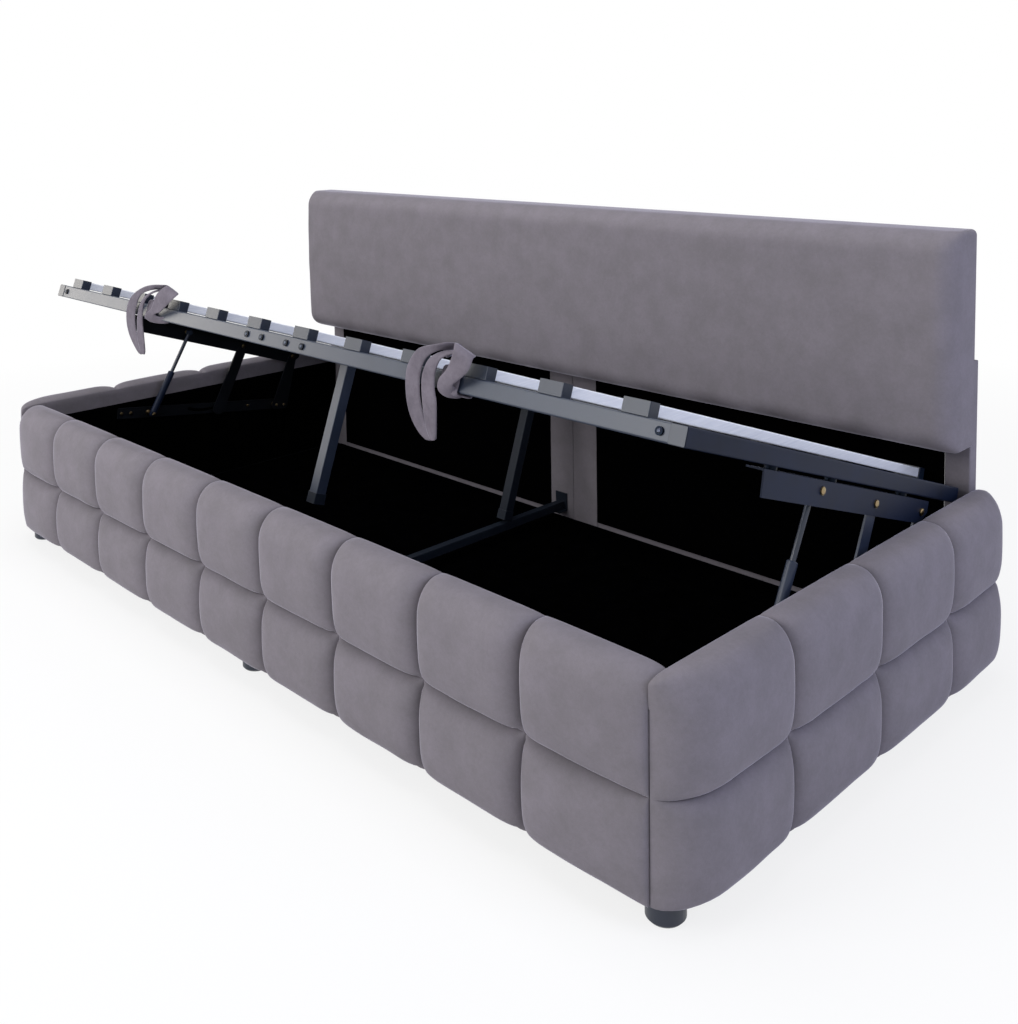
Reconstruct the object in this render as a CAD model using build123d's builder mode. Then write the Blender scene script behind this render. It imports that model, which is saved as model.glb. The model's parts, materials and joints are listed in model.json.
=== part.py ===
from build123d import *
import os
from math import atan2, cos, degrees, hypot, radians, sin, sqrt

os.makedirs("parts", exist_ok=True)

# All sizes are in millimetres and all angles in degrees.
# X runs along the bed, -Y is the side that opens, +Z is up, and the floor is Z = 0.
# The bed stands as photographed: the slatted frame is lifted on its gas struts.

# Upholstered box
foot_height = 39
lower_row = 150
upper_row = 161
front_thickness = 47
end_thickness = 50
front_bulge = 30
end_bulge = 25
front_columns = 9
end_columns = 4
end_setback = 2
end_overhang = 12
tail_trim = 16
foam_depth = 12
cover_wrap = 3
top_wrap = 6
board_chamfer = 30
board_chamfer_length = 45
lining = 2
lip_height = 40

# Tufts: how far a puff takes to swell from its seam, and the depth of the seams.
# The outer puffs swell more slowly, and the end panels go round their own corners.
seam_width = 3
tuft_reach = 50
front_end_reach = 170
front_corner_reach = 95
tail_reach = 190
tail_corner_reach = 60
crest_rise = 9
crest_inset = 12
seam_swell_share = 0.04
crown_share = 0.88
tuft_angles = (0, 35, 62, 90)
corner_angles = (0, 20, 40, 62, 90)

# Back frame, in two halves that meet in the middle
back_depth = 30
back_height = 602
end_upright_width = 50
centre_upright_width = 79
back_rail_height = 30
skirt_height = 11
lining_recess = 2

# Headboard
headboard_length = 2041
headboard_bottom = 438
headboard_height = 417
headboard_side = 51
headboard_crown = 54
headboard_edge = 40
headboard_board_thickness = 20
headboard_cover = 4

# Feet
foot_diameter = 57
foot_inset_x = 6.5
foot_inset_y = 1
foot_base_diameter = 50
foot_collar = 6
foot_round = 4

# Storage floor
floor_thickness = 4
ledge_side = 20
ledge_wall = 2
floor_play = 1
centre_batten_width = 60
crossbar_side = 20
crossbar_wall = 1.5
crossbar_x = -40.5
hanger_height = 45
hanger_width = 38
hanger_wall = 3
hanger_shelf = 30

# Corner plates that hold the panels together
corner_leg = 60
corner_height = 180
corner_wall = 3
corner_drop = 90

# Slatted lift frame, measured flat, and its clearance inside the box
frame_length = 2002
frame_depth = 908
frame_front_gap = 5
frame_rear_gap = 25
frame_side_gap = 15
tube_side = 30
tube_wall = 2
tube_corner = 3
sleeve_length = 240
sleeve_play = 0.2
tongue_length = 45
inner_bolt_spacing = 86
outer_bolt_spacing = 194
corner_bolt_inset = 16
slat_count = 12
slat_span = 1812
slat_width = 46
slat_thickness = 18
slat_lift = 2
slat_end_inset = 3
cap_width = 50
cap_depth = 23
cap_height = 22
cap_round = 1.5
cap_play = 0.3

# Legs under the middle of the lift frame
leg_side = 25
leg_wall = 1.5
front_leg_back = 229
rear_leg_back = 812
front_leg_reach = 326.5
rear_leg_reach = 318
leg_cap_wall = 1.5
leg_cap_height = 22
leg_plate = 60
leg_plate_thickness = 3
leg_landing = 0.3

# Lift hinge: its place on the flat frame, how far the frame is raised, and its height
hinge_back = 760
hinge_drop = 57
hinge_height = 355
lift_angle = 19.2

# Lift ironwork on each end panel
strap_wall = 3
bracket_start = 551
bracket_end = 26
bracket_top = 21
bracket_reach = 42
bracket_flange = 32
bracket_nose = 6
bracket_tail = 22
packing = 6
packing_diameter = 20
flange_bolts = (-510, -322, -60)
lower_bar_length = 541
lower_bar_width = 30
lower_bar_wall = 4
lower_bar_front = 556
lower_bar_lift = -71.6
lower_bar_slope = -7.75
lower_screws = (10, 38, 408)
upright_wall = 4
upright_width = 26
upright_foot_inset = 18
upright_foot_spacing = 26
link_gap = 0.5
stay_back = 580
stay_top_radius = 15
stay_foot_radius = 18
stay_foot_y = 256.85
stay_foot_drop = 110.6
stay_pin = 8
slot_play = 0.4
slot_arcs = 3
pin_diameter = 10
pin_head = 14
pin_head_height = 2.5
running_clearance = 0.1

# Gas struts
strut_back = 390
strut_drop = 52
strut_bottom_along = 87.8
strut_inset = 32
cylinder_diameter = 18
cylinder_length = 124.5
cylinder_foot = 5.5
bore_floor = 3
rod_diameter = 10
rod_length = 123.5
strut_eye_diameter = 14
strut_eye_width = 12
stud_diameter = 8
stud_base = 14
stud_base_height = 4
stud_clip = 2

# Fasteners
bolt_head = 13
bolt_head_height = 3
bolt_diameter = 6
bolt_hole = 6.5
bolt_length = 24
rivet_head = 9
rivet_head_height = 2
rivet_diameter = 5

# Pull straps hitched round the front rail
strap_left_x = -505
strap_right_x = 517
strap_thickness = 5
strap_clearance = 0.3
strap_stand_off = 8
strap_loop_width = 98
strap_loop_height = 92
strap_fold_depth = 34
strap_hitch_start = 15
strap_hitch_width = 46
strap_hitch_height = 46
strap_outline_shares = (
    (0.14, 0.9),
    (-0.71, 0.64),
    (-1, 0.03),
    (-0.87, -0.6),
    (-0.43, -1),
    (-0.3, -0.97),
    (-0.22, -0.86),
    (-0.22, 0.1),
    (-0.12, 0.48),
    (0.3, 0.72),
)
strap_slit_shares = ((-0.52, -0.57), (-0.62, 0.02), (-0.37, 0.57), (-0.58, 0.02))
strap_outer_fold_shares = ((0, 0.45), (0.36, 0.81), (0.9, 0.76))
strap_inner_fold_shares = ((0.15, 0.45), (0.42, 0.7), (0.88, 0.66))

seat = 0.3

# Places that follow from the sizes above
clear_length = frame_length + 2 * frame_side_gap
clear_depth = frame_front_gap + frame_depth + frame_rear_gap
total_depth = front_bulge + front_thickness + clear_depth + back_depth + end_overhang
crest_y = -total_depth / 2
seam_y = crest_y + front_bulge
inner_y = seam_y + front_thickness
back_y = inner_y + clear_depth
rear_y = back_y + back_depth
tail_y = rear_y + end_overhang
end_front_y = seam_y + end_setback
inner_x = clear_length / 2
end_seam_x = inner_x + end_thickness
mid_seam_z = foot_height + lower_row
top_seam_z = mid_seam_z + upper_row
floor_z = foot_height + ledge_wall + floor_thickness
skirt_z = floor_z + skirt_height
hinge_y = inner_y + frame_front_gap + hinge_back
half_frame = frame_length / 2
rail_centre = hinge_drop - tube_side / 2
frame_front = -hinge_back
frame_rear = frame_depth - hinge_back
strap_x = half_frame - strap_wall
link_x = strap_x - link_gap
crossbar_top = hinge_height + hinge_drop - front_leg_reach - leg_landing
bar_x = inner_x - lower_bar_wall

# The lift frame is drawn flat in its own plane, whose origin lies on the hinge axis:
# x along the bed, y towards the back, z out through the slats.
lift = Plane(
    origin=(0, hinge_y, hinge_height),
    x_dir=(1, 0, 0),
    z_dir=(0, sin(radians(lift_angle)), cos(radians(lift_angle))),
)
lift_side = Plane(origin=lift.origin, x_dir=lift.y_dir, z_dir=lift.x_dir)
lift_front = Plane(origin=lift.origin, x_dir=lift.x_dir, z_dir=-lift.y_dir)


def write(piece, name):
    """Label a finished piece and write it as its own STEP file."""
    piece.label = name
    export_step(piece, f"parts/{name}.step")


def block(low, high):
    """A square-edged board or strip between two corners."""
    size = [b - a for a, b in zip(low, high)]
    centre = tuple((a + b) / 2 for a, b in zip(low, high))
    with BuildPart() as board:
        with Locations(centre):
            Box(*size)
    return board.part


def square_tube(plane, centre, side, wall, length, corner):
    """A square steel tube that starts on a plane and runs along its normal."""
    with BuildPart() as tube:
        with BuildSketch(plane):
            with Locations(centre):
                RectangleRounded(side, side, corner)
                RectangleRounded(side - 2 * wall, side - 2 * wall, corner / 2, mode=Mode.SUBTRACT)
        extrude(amount=length)
    return tube.part


def flank(reach, body_reach=0):
    """One side of a puff: distance from its seam, swell, and thickness of the panel behind it.

    Swell and thickness are shares; the thickness only falls away round a panel's own corner."""
    side = []
    for angle in corner_angles if body_reach else tuft_angles:
        travel = reach * (1 - cos(radians(angle)))
        body = sqrt(1 - (1 - travel / body_reach) ** 2) if travel < body_reach else 1
        side.append((travel, max(sin(radians(angle)), seam_swell_share), max(body, seam_swell_share)))
    return side


def tuft_stations(length, columns, first, last, trim=0):
    """Stations along a panel: distance from its middle, swell of its puffs and thickness there.

    The last column is narrower than the others by the trim."""
    pitch = (length + trim) / columns
    stations = []
    for column in range(columns):
        start = column * pitch - length / 2
        width = pitch if column < columns - 1 else pitch - trim
        gap_before = seam_width / 2 if column else 0
        gap_after = seam_width / 2 if column < columns - 1 else 0
        rising = flank(tuft_reach) if column else first
        falling = flank(tuft_reach) if column < columns - 1 else last
        stations += [(start + gap_before + travel, swell, body) for travel, swell, body in rising]
        end = start + width
        stations += [(end - gap_after - travel, swell, body) for travel, swell, body in reversed(falling)]
    return stations


def round_over(start, end, flat_first):
    """Middle point of a quarter round between two points, level at one end and upright at the other."""
    share = sqrt(0.5)
    if flat_first:
        return (start[0] + (end[0] - start[0]) * share, end[1] + (start[1] - end[1]) * share)
    return (end[0] + (start[0] - end[0]) * share, start[1] + (end[1] - start[1]) * share)


def tufted_pad(plane_at, stations, seam, inner, bulge):
    """Padding of one panel: two rows of puffs, drawn in at every seam, lofted station by station.

    Its profile is drawn with x pointing out of the panel and y up."""
    with BuildPart() as pad:
        for distance, swell, body in stations:
            face = inner + (seam - inner) * body
            crest = face + bulge * swell
            edge = face + bulge * swell * crown_share
            dip = face + bulge * seam_swell_share
            foot = (face, foot_height)
            low_in = (edge, foot_height + tuft_reach)
            low_out = (edge, mid_seam_z - tuft_reach)
            waist = (dip, mid_seam_z)
            high_in = (edge, mid_seam_z + tuft_reach)
            high_out = (edge, top_seam_z - tuft_reach)
            top = (face - crest_inset * body, top_seam_z + crest_rise * swell)
            back = (inner, top_seam_z)
            with BuildSketch(plane_at(distance)):
                with BuildLine():
                    Line((inner, foot_height), foot)
                    ThreePointArc(foot, round_over(foot, low_in, True), low_in)
                    ThreePointArc(low_in, (crest, (low_in[1] + low_out[1]) / 2), low_out)
                    ThreePointArc(low_out, round_over(low_out, waist, False), waist)
                    ThreePointArc(waist, round_over(waist, high_in, True), high_in)
                    ThreePointArc(high_in, (crest, (high_in[1] + high_out[1]) / 2), high_out)
                    ThreePointArc(high_out, round_over(high_out, top, False), top)
                    ThreePointArc(top, round_over(top, back, True), back)
                    Line(back, (inner, foot_height))
                make_face()
        loft(ruled=True)
    return pad.part


def front_plane(distance):
    """Upright plane across the front panel, x pointing out of its face."""
    return Plane(origin=(distance, 0, 0), x_dir=(0, -1, 0), z_dir=(-1, 0, 0))


def end_plane(distance):
    """Upright plane across the right end panel, measured from its middle, x pointing out of its face."""
    return Plane(origin=(0, (tail_y + end_front_y) / 2 + distance, 0), x_dir=(1, 0, 0), z_dir=(0, -1, 0))


# Front panel: board, black lining, and the tufted padding wrapped round both
front_board_low = (-inner_x, seam_y + foam_depth, foot_height + cover_wrap)
front_board_high = (inner_x, inner_y - lining, top_seam_z - top_wrap)
front_lining_low = (-inner_x, inner_y - lining, foot_height + cover_wrap)
front_lining_high = (inner_x, inner_y, top_seam_z - lip_height)
front_board = block(front_board_low, front_board_high)
front_lining = block(front_lining_low, front_lining_high)

front_stations = tuft_stations(clear_length, front_columns, flank(front_end_reach), flank(front_end_reach))

with BuildPart() as front_padding:
    add(tufted_pad(front_plane, front_stations, -seam_y, -inner_y, front_bulge))
    add(front_board, mode=Mode.SUBTRACT)
    add(front_lining, mode=Mode.SUBTRACT)

write(front_board, "front_panel_board")
write(front_lining, "front_panel_lining")
write(front_padding.part, "front_panel_padding")

# End panels: the right one is drawn, the left one is its mirror image
end_length = tail_y - end_front_y
board_in = inner_x + lining
board_out = end_seam_x - foam_depth
board_front = end_front_y + cover_wrap
board_tail = tail_y - cover_wrap
with BuildPart() as end_board_block:
    with BuildSketch(Plane.XY.offset(foot_height + cover_wrap)):
        with BuildLine():
            Polyline(
                (board_in, board_front),
                (board_out - board_chamfer, board_front),
                (board_out, board_front + board_chamfer_length),
                (board_out, board_tail - board_chamfer / 2),
                (board_out - board_chamfer / 2, board_tail),
                (board_in, board_tail),
                close=True,
            )
        make_face()
    extrude(amount=top_seam_z - top_wrap - foot_height - cover_wrap)
end_board = end_board_block.part
end_lining = block(
    (inner_x, end_front_y + cover_wrap, foot_height + cover_wrap),
    (inner_x + lining, tail_y - cover_wrap, top_seam_z - lip_height),
)


end_stations = tuft_stations(
    end_length,
    end_columns,
    flank(front_corner_reach, front_corner_reach),
    flank(tail_reach, tail_corner_reach),
    tail_trim,
)

with BuildPart() as end_padding:
    add(tufted_pad(end_plane, end_stations, end_seam_x, inner_x, end_bulge))
    add(end_board, mode=Mode.SUBTRACT)
    add(end_lining, mode=Mode.SUBTRACT)

for side, turn in (("right", False), ("left", True)):
    for piece, name in (
        (end_board, "end_panel_board"),
        (end_lining, "end_panel_lining"),
        (end_padding.part, "end_panel_padding"),
    ):
        write(mirror(piece, about=Plane.YZ, mode=Mode.PRIVATE) if turn else piece, f"{name}_{side}")

# Back frame: four padded uprights, rails between them and a black lining over the rails
for side, sign in (("left", -1), ("right", 1)):
    outer_x = inner_x
    outer_in = inner_x - end_upright_width
    for low, high, name in (
        (outer_in, outer_x, f"back_upright_end_{side}"),
        (0, centre_upright_width, f"back_upright_centre_{side}"),
    ):
        with BuildPart() as upright:
            with BuildSketch(Plane.XY.offset(foot_height)):
                with Locations((sign * (low + high) / 2, (back_y + rear_y) / 2)):
                    RectangleRounded(high - low, back_depth, cover_wrap)
            extrude(amount=back_height - foot_height)
            fillet(upright.faces().sort_by(Axis.Z)[-1].edges(), cover_wrap / 2)
        write(upright.part, name)

bay_in = centre_upright_width
bay_out = inner_x - end_upright_width
with BuildPart() as back_rails:
    for sign in (-1, 1):
        for low_z in (foot_height, back_height - back_rail_height):
            rail_middle_y = (back_y + lining_recess + rear_y) / 2
            with Locations((sign * (bay_in + bay_out) / 2, rail_middle_y, low_z + back_rail_height / 2)):
                Box(bay_out - bay_in, back_depth - lining_recess, back_rail_height)
write(back_rails.part, "back_rails")

with BuildPart() as back_lining:
    for sign in (-1, 1):
        lining_middle_y = back_y + lining_recess / 2
        with Locations((sign * (bay_in + bay_out) / 2, lining_middle_y, (skirt_z + back_height) / 2)):
            Box(bay_out - bay_in, lining_recess, back_height - skirt_z)
write(back_lining.part, "back_linings")

# Headboard: a board with a smooth crowned cushion pulled over its face and edges
headboard_top = headboard_bottom + headboard_height
headboard_half = headboard_length / 2
headboard_board = block(
    (
        -headboard_half + headboard_cover,
        back_y - headboard_board_thickness,
        headboard_bottom + headboard_cover,
    ),
    (headboard_half - headboard_cover, back_y, headboard_top - headboard_cover),
)

with BuildPart() as headboard_cushion:
    headboard_flank = flank(headboard_edge)
    for distance, swell, _ in tuft_stations(headboard_length, 1, headboard_flank, headboard_flank):
        side_face = -back_y + headboard_side
        crest = side_face + headboard_crown * swell
        edge = side_face + headboard_crown * swell * crown_share
        bottom_edge = (side_face, headboard_bottom)
        low = (edge, headboard_bottom + headboard_edge)
        high = (edge, headboard_top - headboard_edge)
        top_edge = (side_face, headboard_top)
        with BuildSketch(front_plane(distance)):
            with BuildLine():
                Line((-back_y, headboard_bottom), bottom_edge)
                ThreePointArc(bottom_edge, round_over(bottom_edge, low, True), low)
                ThreePointArc(low, (crest, (low[1] + high[1]) / 2), high)
                ThreePointArc(high, round_over(high, top_edge, False), top_edge)
                Line(top_edge, (-back_y, headboard_top))
                Line((-back_y, headboard_top), (-back_y, headboard_bottom))
            make_face()
    loft(ruled=True)
    add(headboard_board, mode=Mode.SUBTRACT)

write(headboard_board, "headboard_board")
write(headboard_cushion.part, "headboard_cushion")

# Feet: turned plastic pucks, three under the front and three under the back
foot_x = inner_x - foot_inset_x
foot_places = [(x, inner_y - foot_inset_y) for x in (-foot_x, 0, foot_x)]
foot_places += [(x, (back_y + rear_y) / 2) for x in (-foot_x, 0, foot_x)]
with BuildPart() as feet:
    with BuildSketch(Plane.XZ):
        with BuildLine():
            Polyline(
                (0, 0),
                (foot_base_diameter / 2, 0),
                (foot_diameter / 2, foot_round),
                (foot_diameter / 2, foot_height - foot_collar),
                (foot_base_diameter / 2, foot_height - foot_collar),
                (foot_base_diameter / 2, foot_height),
                (0, foot_height),
                close=True,
            )
        make_face()
    revolve(axis=Axis.Z)
foot = feet.part
with BuildPart() as all_feet:
    with Locations([(x, y, 0) for x, y in foot_places]):
        add(foot)
write(all_feet.part, "feet")

# Storage floor: two hardboard sheets on steel ledges, meeting over a flat centre bar
ledge_base_z = foot_height
ledge_rise = ledge_wall + floor_thickness
sheet_z = ledge_base_z + ledge_wall


def ledge(plane, length):
    """An angle strip: x of its plane points away from the wall it is screwed to."""
    with BuildPart() as angle:
        with BuildSketch(plane):
            with BuildLine():
                Polyline(
                    (0, 0),
                    (ledge_side, 0),
                    (ledge_side, ledge_wall),
                    (ledge_wall, ledge_wall),
                    (ledge_wall, ledge_rise),
                    (0, ledge_rise),
                    close=True,
                )
            make_face()
        extrude(amount=length)
    return angle.part


long_ledge = clear_length - 2 * ledge_side
half_long = long_ledge / 2
with BuildPart() as ledges:
    for sign, wall_y in ((1, inner_y), (-1, back_y)):
        corner = (-sign * half_long, wall_y, ledge_base_z)
        add(ledge(Plane(origin=corner, x_dir=(0, sign, 0), z_dir=(sign, 0, 0)), long_ledge))
    for sign in (-1, 1):
        corner = (sign * inner_x, inner_y if sign > 0 else back_y, ledge_base_z)
        add(ledge(Plane(origin=corner, x_dir=(-sign, 0, 0), z_dir=(0, sign, 0)), clear_depth))
write(ledges.part, "floor_ledges")

write(
    block(
        (-centre_batten_width / 2, inner_y + ledge_side, ledge_base_z),
        (centre_batten_width / 2, back_y - ledge_side, ledge_base_z + ledge_wall),
    ),
    "floor_centre_bar",
)

for side, sign in (("left", -1), ("right", 1)):
    outer = inner_x - ledge_wall - floor_play
    inner = floor_play / 2
    low_x, high_x = sorted((sign * inner, sign * outer))
    write(
        block(
            (low_x, inner_y + ledge_wall + floor_play, sheet_z),
            (high_x, back_y - ledge_wall - floor_play, sheet_z + floor_thickness),
        ),
        f"floor_board_{side}",
    )

# Floor crossbar: a steel tube from the front panel to the back frame, hung on two angle hangers
crossbar_z = crossbar_top - crossbar_side / 2
crossbar_plane = Plane(origin=(0, inner_y + hanger_wall, 0), x_dir=(-1, 0, 0), z_dir=(0, 1, 0))
crossbar = square_tube(
    crossbar_plane,
    (-crossbar_x, crossbar_z),
    crossbar_side,
    crossbar_wall,
    clear_depth - 2 * hanger_wall,
    crossbar_wall,
)
write(crossbar, "floor_crossbar")

with BuildPart() as hangers:
    for wall_y, sign in ((inner_y, 1), (back_y, -1)):
        plate_low, plate_high = sorted((wall_y, wall_y + sign * hanger_wall))
        shelf_low, shelf_high = sorted((wall_y, wall_y + sign * hanger_shelf))
        shelf_top = crossbar_top - crossbar_side
        add(
            block(
                (crossbar_x - hanger_width / 2, plate_low, shelf_top - hanger_wall),
                (crossbar_x + hanger_width / 2, plate_high, shelf_top - hanger_wall + hanger_height),
            )
        )
        add(
            block(
                (crossbar_x - hanger_width / 2, shelf_low, shelf_top - hanger_wall),
                (crossbar_x + hanger_width / 2, shelf_high, shelf_top),
            )
        )
write(hangers.part, "crossbar_hangers")

# Corner plates: folded steel angles inside the two front corners of the box
with BuildPart() as corner_plates:
    for sign in (-1, 1):
        with BuildSketch(Plane.XY.offset(top_seam_z - lip_height - corner_drop - corner_height / 2)):
            with BuildLine():
                Polyline(
                    (sign * inner_x, inner_y),
                    (sign * (inner_x - corner_leg), inner_y),
                    (sign * (inner_x - corner_leg), inner_y + corner_wall),
                    (sign * (inner_x - corner_wall), inner_y + corner_wall),
                    (sign * (inner_x - corner_wall), inner_y + corner_leg),
                    (sign * inner_x, inner_y + corner_leg),
                    close=True,
                )
            make_face()
        extrude(amount=corner_height)
write(corner_plates.part, "corner_plates")

# Lift frame rails: end rails run the full depth, front and rear rails fit between them
# and are joined in the middle over an inner sleeve. Tongues on the end rails enter their ends.
rail_reach = half_frame - tube_side
tongue_side = tube_side - 2 * tube_wall - 2 * sleeve_play
rows = {"front": frame_front + tube_side / 2, "rear": frame_rear - tube_side / 2}
bolt_x = [-inner_bolt_spacing / 2, inner_bolt_spacing / 2, -outer_bolt_spacing / 2, outer_bolt_spacing / 2]
rail_bolt_x = bolt_x + [rail_reach - corner_bolt_inset, -rail_reach + corner_bolt_inset]

for row, row_y in rows.items():
    for side, start in (("left", -rail_reach), ("right", 0)):
        with BuildPart() as rail:
            tube_start = lift_side.offset(start)
            add(square_tube(tube_start, (row_y, rail_centre), tube_side, tube_wall, rail_reach, tube_corner))
            with BuildSketch(lift_front.offset(-row_y)):
                with Locations([(x, rail_centre) for x in rail_bolt_x]):
                    Circle(bolt_hole / 2)
            extrude(amount=tube_side, both=True, mode=Mode.SUBTRACT)
        write(rail.part, f"{row}_rail_{side}")

with BuildPart() as sleeves:
    for row_y in rows.values():
        add(
            square_tube(
                lift_side.offset(-sleeve_length / 2),
                (row_y, rail_centre),
                tongue_side,
                tube_wall,
                sleeve_length,
                tube_wall / 2,
            )
        )
        with BuildSketch(lift_front.offset(-row_y)):
            with Locations([(x, rail_centre) for x in bolt_x]):
                Circle(bolt_hole / 2)
        extrude(amount=tube_side, both=True, mode=Mode.SUBTRACT)
write(sleeves.part, "rail_sleeves")

for side, sign in (("left", -1), ("right", 1)):
    rail_x = sign * (half_frame - tube_side / 2)
    with BuildPart() as end_rail:
        add(
            square_tube(
                lift_front.offset(-frame_rear),
                (rail_x, rail_centre),
                tube_side,
                tube_wall,
                frame_depth,
                tube_corner,
            )
        )
        for row_y in rows.values():
            start = rail_reach if sign > 0 else -rail_reach
            add(
                square_tube(
                    lift_side.offset(start - (tongue_length if sign > 0 else 0)),
                    (row_y, rail_centre),
                    tongue_side,
                    tube_wall,
                    tongue_length,
                    tube_wall / 2,
                )
            )
            with BuildSketch(lift_front.offset(-row_y)):
                with Locations((sign * (rail_reach - corner_bolt_inset), rail_centre)):
                    Circle(bolt_hole / 2)
            extrude(amount=tube_side, both=True, mode=Mode.SUBTRACT)
    write(end_rail.part, f"end_rail_{side}")

# Plugs close the open ends of the end rails
with BuildPart() as plugs:
    for sign in (-1, 1):
        for end_y, outward in ((frame_front, 1), (frame_rear, -1)):
            plug_x = sign * (half_frame - tube_side / 2)
            with BuildSketch(lift_front.offset(-end_y)):
                with Locations((plug_x, rail_centre)):
                    RectangleRounded(tube_side - 2 * tube_wall, tube_side - 2 * tube_wall, tube_corner / 2)
            extrude(amount=-outward * tube_side / 2)
            with BuildSketch(lift_front.offset(-end_y)):
                with Locations((plug_x, rail_centre)):
                    RectangleRounded(tube_side - tube_wall, tube_side - tube_wall, tube_corner / 2)
            extrude(amount=outward * tube_wall / 2)
write(plugs.part, "tube_plugs")

# Centre rail that carries the two legs
centre_rail = square_tube(
    lift_front.offset(-frame_rear + tube_side),
    (crossbar_x, rail_centre),
    tube_side,
    tube_wall,
    frame_depth - 2 * tube_side,
    tube_corner,
)
write(centre_rail, "centre_rail")

leg_top = hinge_drop - tube_side
for name, back, reach in (
    ("front", front_leg_back, front_leg_reach),
    ("rear", rear_leg_back, rear_leg_reach),
):
    leg_y = back - hinge_back
    leg_bottom = hinge_drop - reach
    with BuildPart() as leg:
        add(
            square_tube(
                lift.offset(leg_bottom + leg_cap_wall),
                (crossbar_x, leg_y),
                leg_side,
                leg_wall,
                leg_top - leg_bottom - leg_cap_wall,
                leg_wall,
            )
        )
        with BuildSketch(lift.offset(leg_top - leg_plate_thickness)):
            with Locations((crossbar_x, leg_y)):
                Rectangle(tube_side, leg_plate)
        extrude(amount=leg_plate_thickness)
        with BuildSketch(lift.offset(leg_top - leg_plate_thickness)):
            with Locations((crossbar_x, leg_y)):
                with GridLocations(0, leg_plate - 2 * bolt_diameter, 1, 2):
                    Circle(bolt_hole / 2)
        extrude(amount=leg_plate_thickness, mode=Mode.SUBTRACT)
    write(leg.part, f"leg_{name}")

with BuildPart() as leg_caps:
    for back, reach in ((front_leg_back, front_leg_reach), (rear_leg_back, rear_leg_reach)):
        cap_centre = (crossbar_x, back - hinge_back)
        cap_side = leg_side + 2 * leg_cap_wall
        with BuildSketch(lift.offset(hinge_drop - reach)):
            with Locations(cap_centre):
                RectangleRounded(cap_side, cap_side, leg_cap_wall)
        extrude(amount=leg_cap_height)
        with BuildSketch(lift.offset(hinge_drop - reach + leg_cap_wall)):
            with Locations(cap_centre):
                Rectangle(leg_side, leg_side)
        extrude(amount=leg_cap_height, mode=Mode.SUBTRACT)
write(leg_caps.part, "leg_caps")

# Slats and the plastic caps that hold their ends on the rails
slat_places = [-slat_span / 2 + slat_span * index / (slat_count - 1) for index in range(slat_count)]
for side, places in (("left", slat_places[: slat_count // 2]), ("right", slat_places[slat_count // 2 :])):
    with BuildPart() as slats:
        with BuildSketch(lift_front.offset(-frame_rear + slat_end_inset)):
            with Locations([(x, hinge_drop + slat_lift + slat_thickness / 2) for x in places]):
                RectangleRounded(slat_width, slat_thickness, slat_lift)
        extrude(amount=frame_depth - 2 * slat_end_inset)
    write(slats.part, f"slats_{side}")

with BuildPart() as slat_cap:
    with BuildSketch(Plane.XY):
        Rectangle(cap_width, cap_depth)
    extrude(amount=cap_height)
    fillet(slat_cap.edges().filter_by(Axis.Z), cap_round)
    with BuildSketch(Plane.XZ.offset(-cap_depth / 2)):
        with Locations((0, slat_lift + slat_thickness / 2)):
            Rectangle(slat_width + 2 * cap_play, slat_thickness + 2 * cap_play)
    extrude(amount=cap_depth - slat_end_inset, mode=Mode.SUBTRACT)

with BuildPart() as slat_caps:
    for row, turn in (("front", 0), ("rear", 180)):
        cap_y = frame_front + cap_depth / 2 if row == "front" else frame_rear - cap_depth / 2
        for x in slat_places:
            place = lift.location * Location((x, cap_y, hinge_drop), (0, 0, turn))
            add(slat_cap.part.moved(place))
write(slat_caps.part, "slat_caps")

# Lift ironwork. Everything here is drawn for one side and repeated for the other.
lower_bar = Plane(
    origin=(0, hinge_y - lower_bar_front, hinge_height + lower_bar_lift),
    x_dir=(0, cos(radians(lower_bar_slope)), sin(radians(lower_bar_slope))),
    z_dir=(1, 0, 0),
)


def on_bar(along):
    """Where a point on the middle of the lower bar lies, across the bed."""
    point = lower_bar.from_local_coords((along, 0, 0))
    return (point.Y, point.Z)


def on_frame(back, up, angle):
    """Where a point of the lift frame lies when the frame is raised by an angle."""
    turn = radians(-angle)
    return (
        hinge_y + back * cos(turn) - up * sin(turn),
        hinge_height + back * sin(turn) + up * cos(turn),
    )


def side_plane(x):
    """Upright plane along the bed's side, x of the plane towards the back and y up."""
    return Plane.YZ.offset(x)


upright_last = lower_bar_length - upright_foot_inset
upright_feet = [upright_last, upright_last - upright_foot_spacing]

# The stay hangs from the upper bracket and its foot pin runs in a curved slot of the lower bar
stay_top = on_frame(stay_back - hinge_back, 0, lift_angle)
stay_foot = (hinge_y - stay_foot_y, hinge_height - stay_foot_drop)
stay_length = hypot(stay_top[0] - stay_foot[0], stay_top[1] - stay_foot[1])
stay_angle = degrees(atan2(stay_top[1] - stay_foot[1], stay_top[0] - stay_foot[0]))
stay_swing = -50.89


def foot_path(share):
    """Foot pin's place when the frame has come down by a share of its travel."""
    top = on_frame(stay_back - hinge_back, 0, lift_angle * (1 - share))
    angle = radians(stay_angle + lift_angle * share + stay_swing * share)
    return (top[0] - stay_length * cos(angle), top[1] - stay_length * sin(angle))


strut_bottom = on_bar(strut_bottom_along)
strut_top = on_frame(strut_back - hinge_back, hinge_drop - strut_drop, lift_angle)
strut_x = inner_x - strut_inset
strut_length = hypot(strut_top[0] - strut_bottom[0], strut_top[1] - strut_bottom[1])
strut_rise = (strut_top[1] - strut_bottom[1]) / strut_length
strut_axis = (0, (strut_top[0] - strut_bottom[0]) / strut_length, strut_rise)
eye_near = strut_x + strut_eye_width / 2
pin_end_x = link_x - upright_wall

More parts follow.
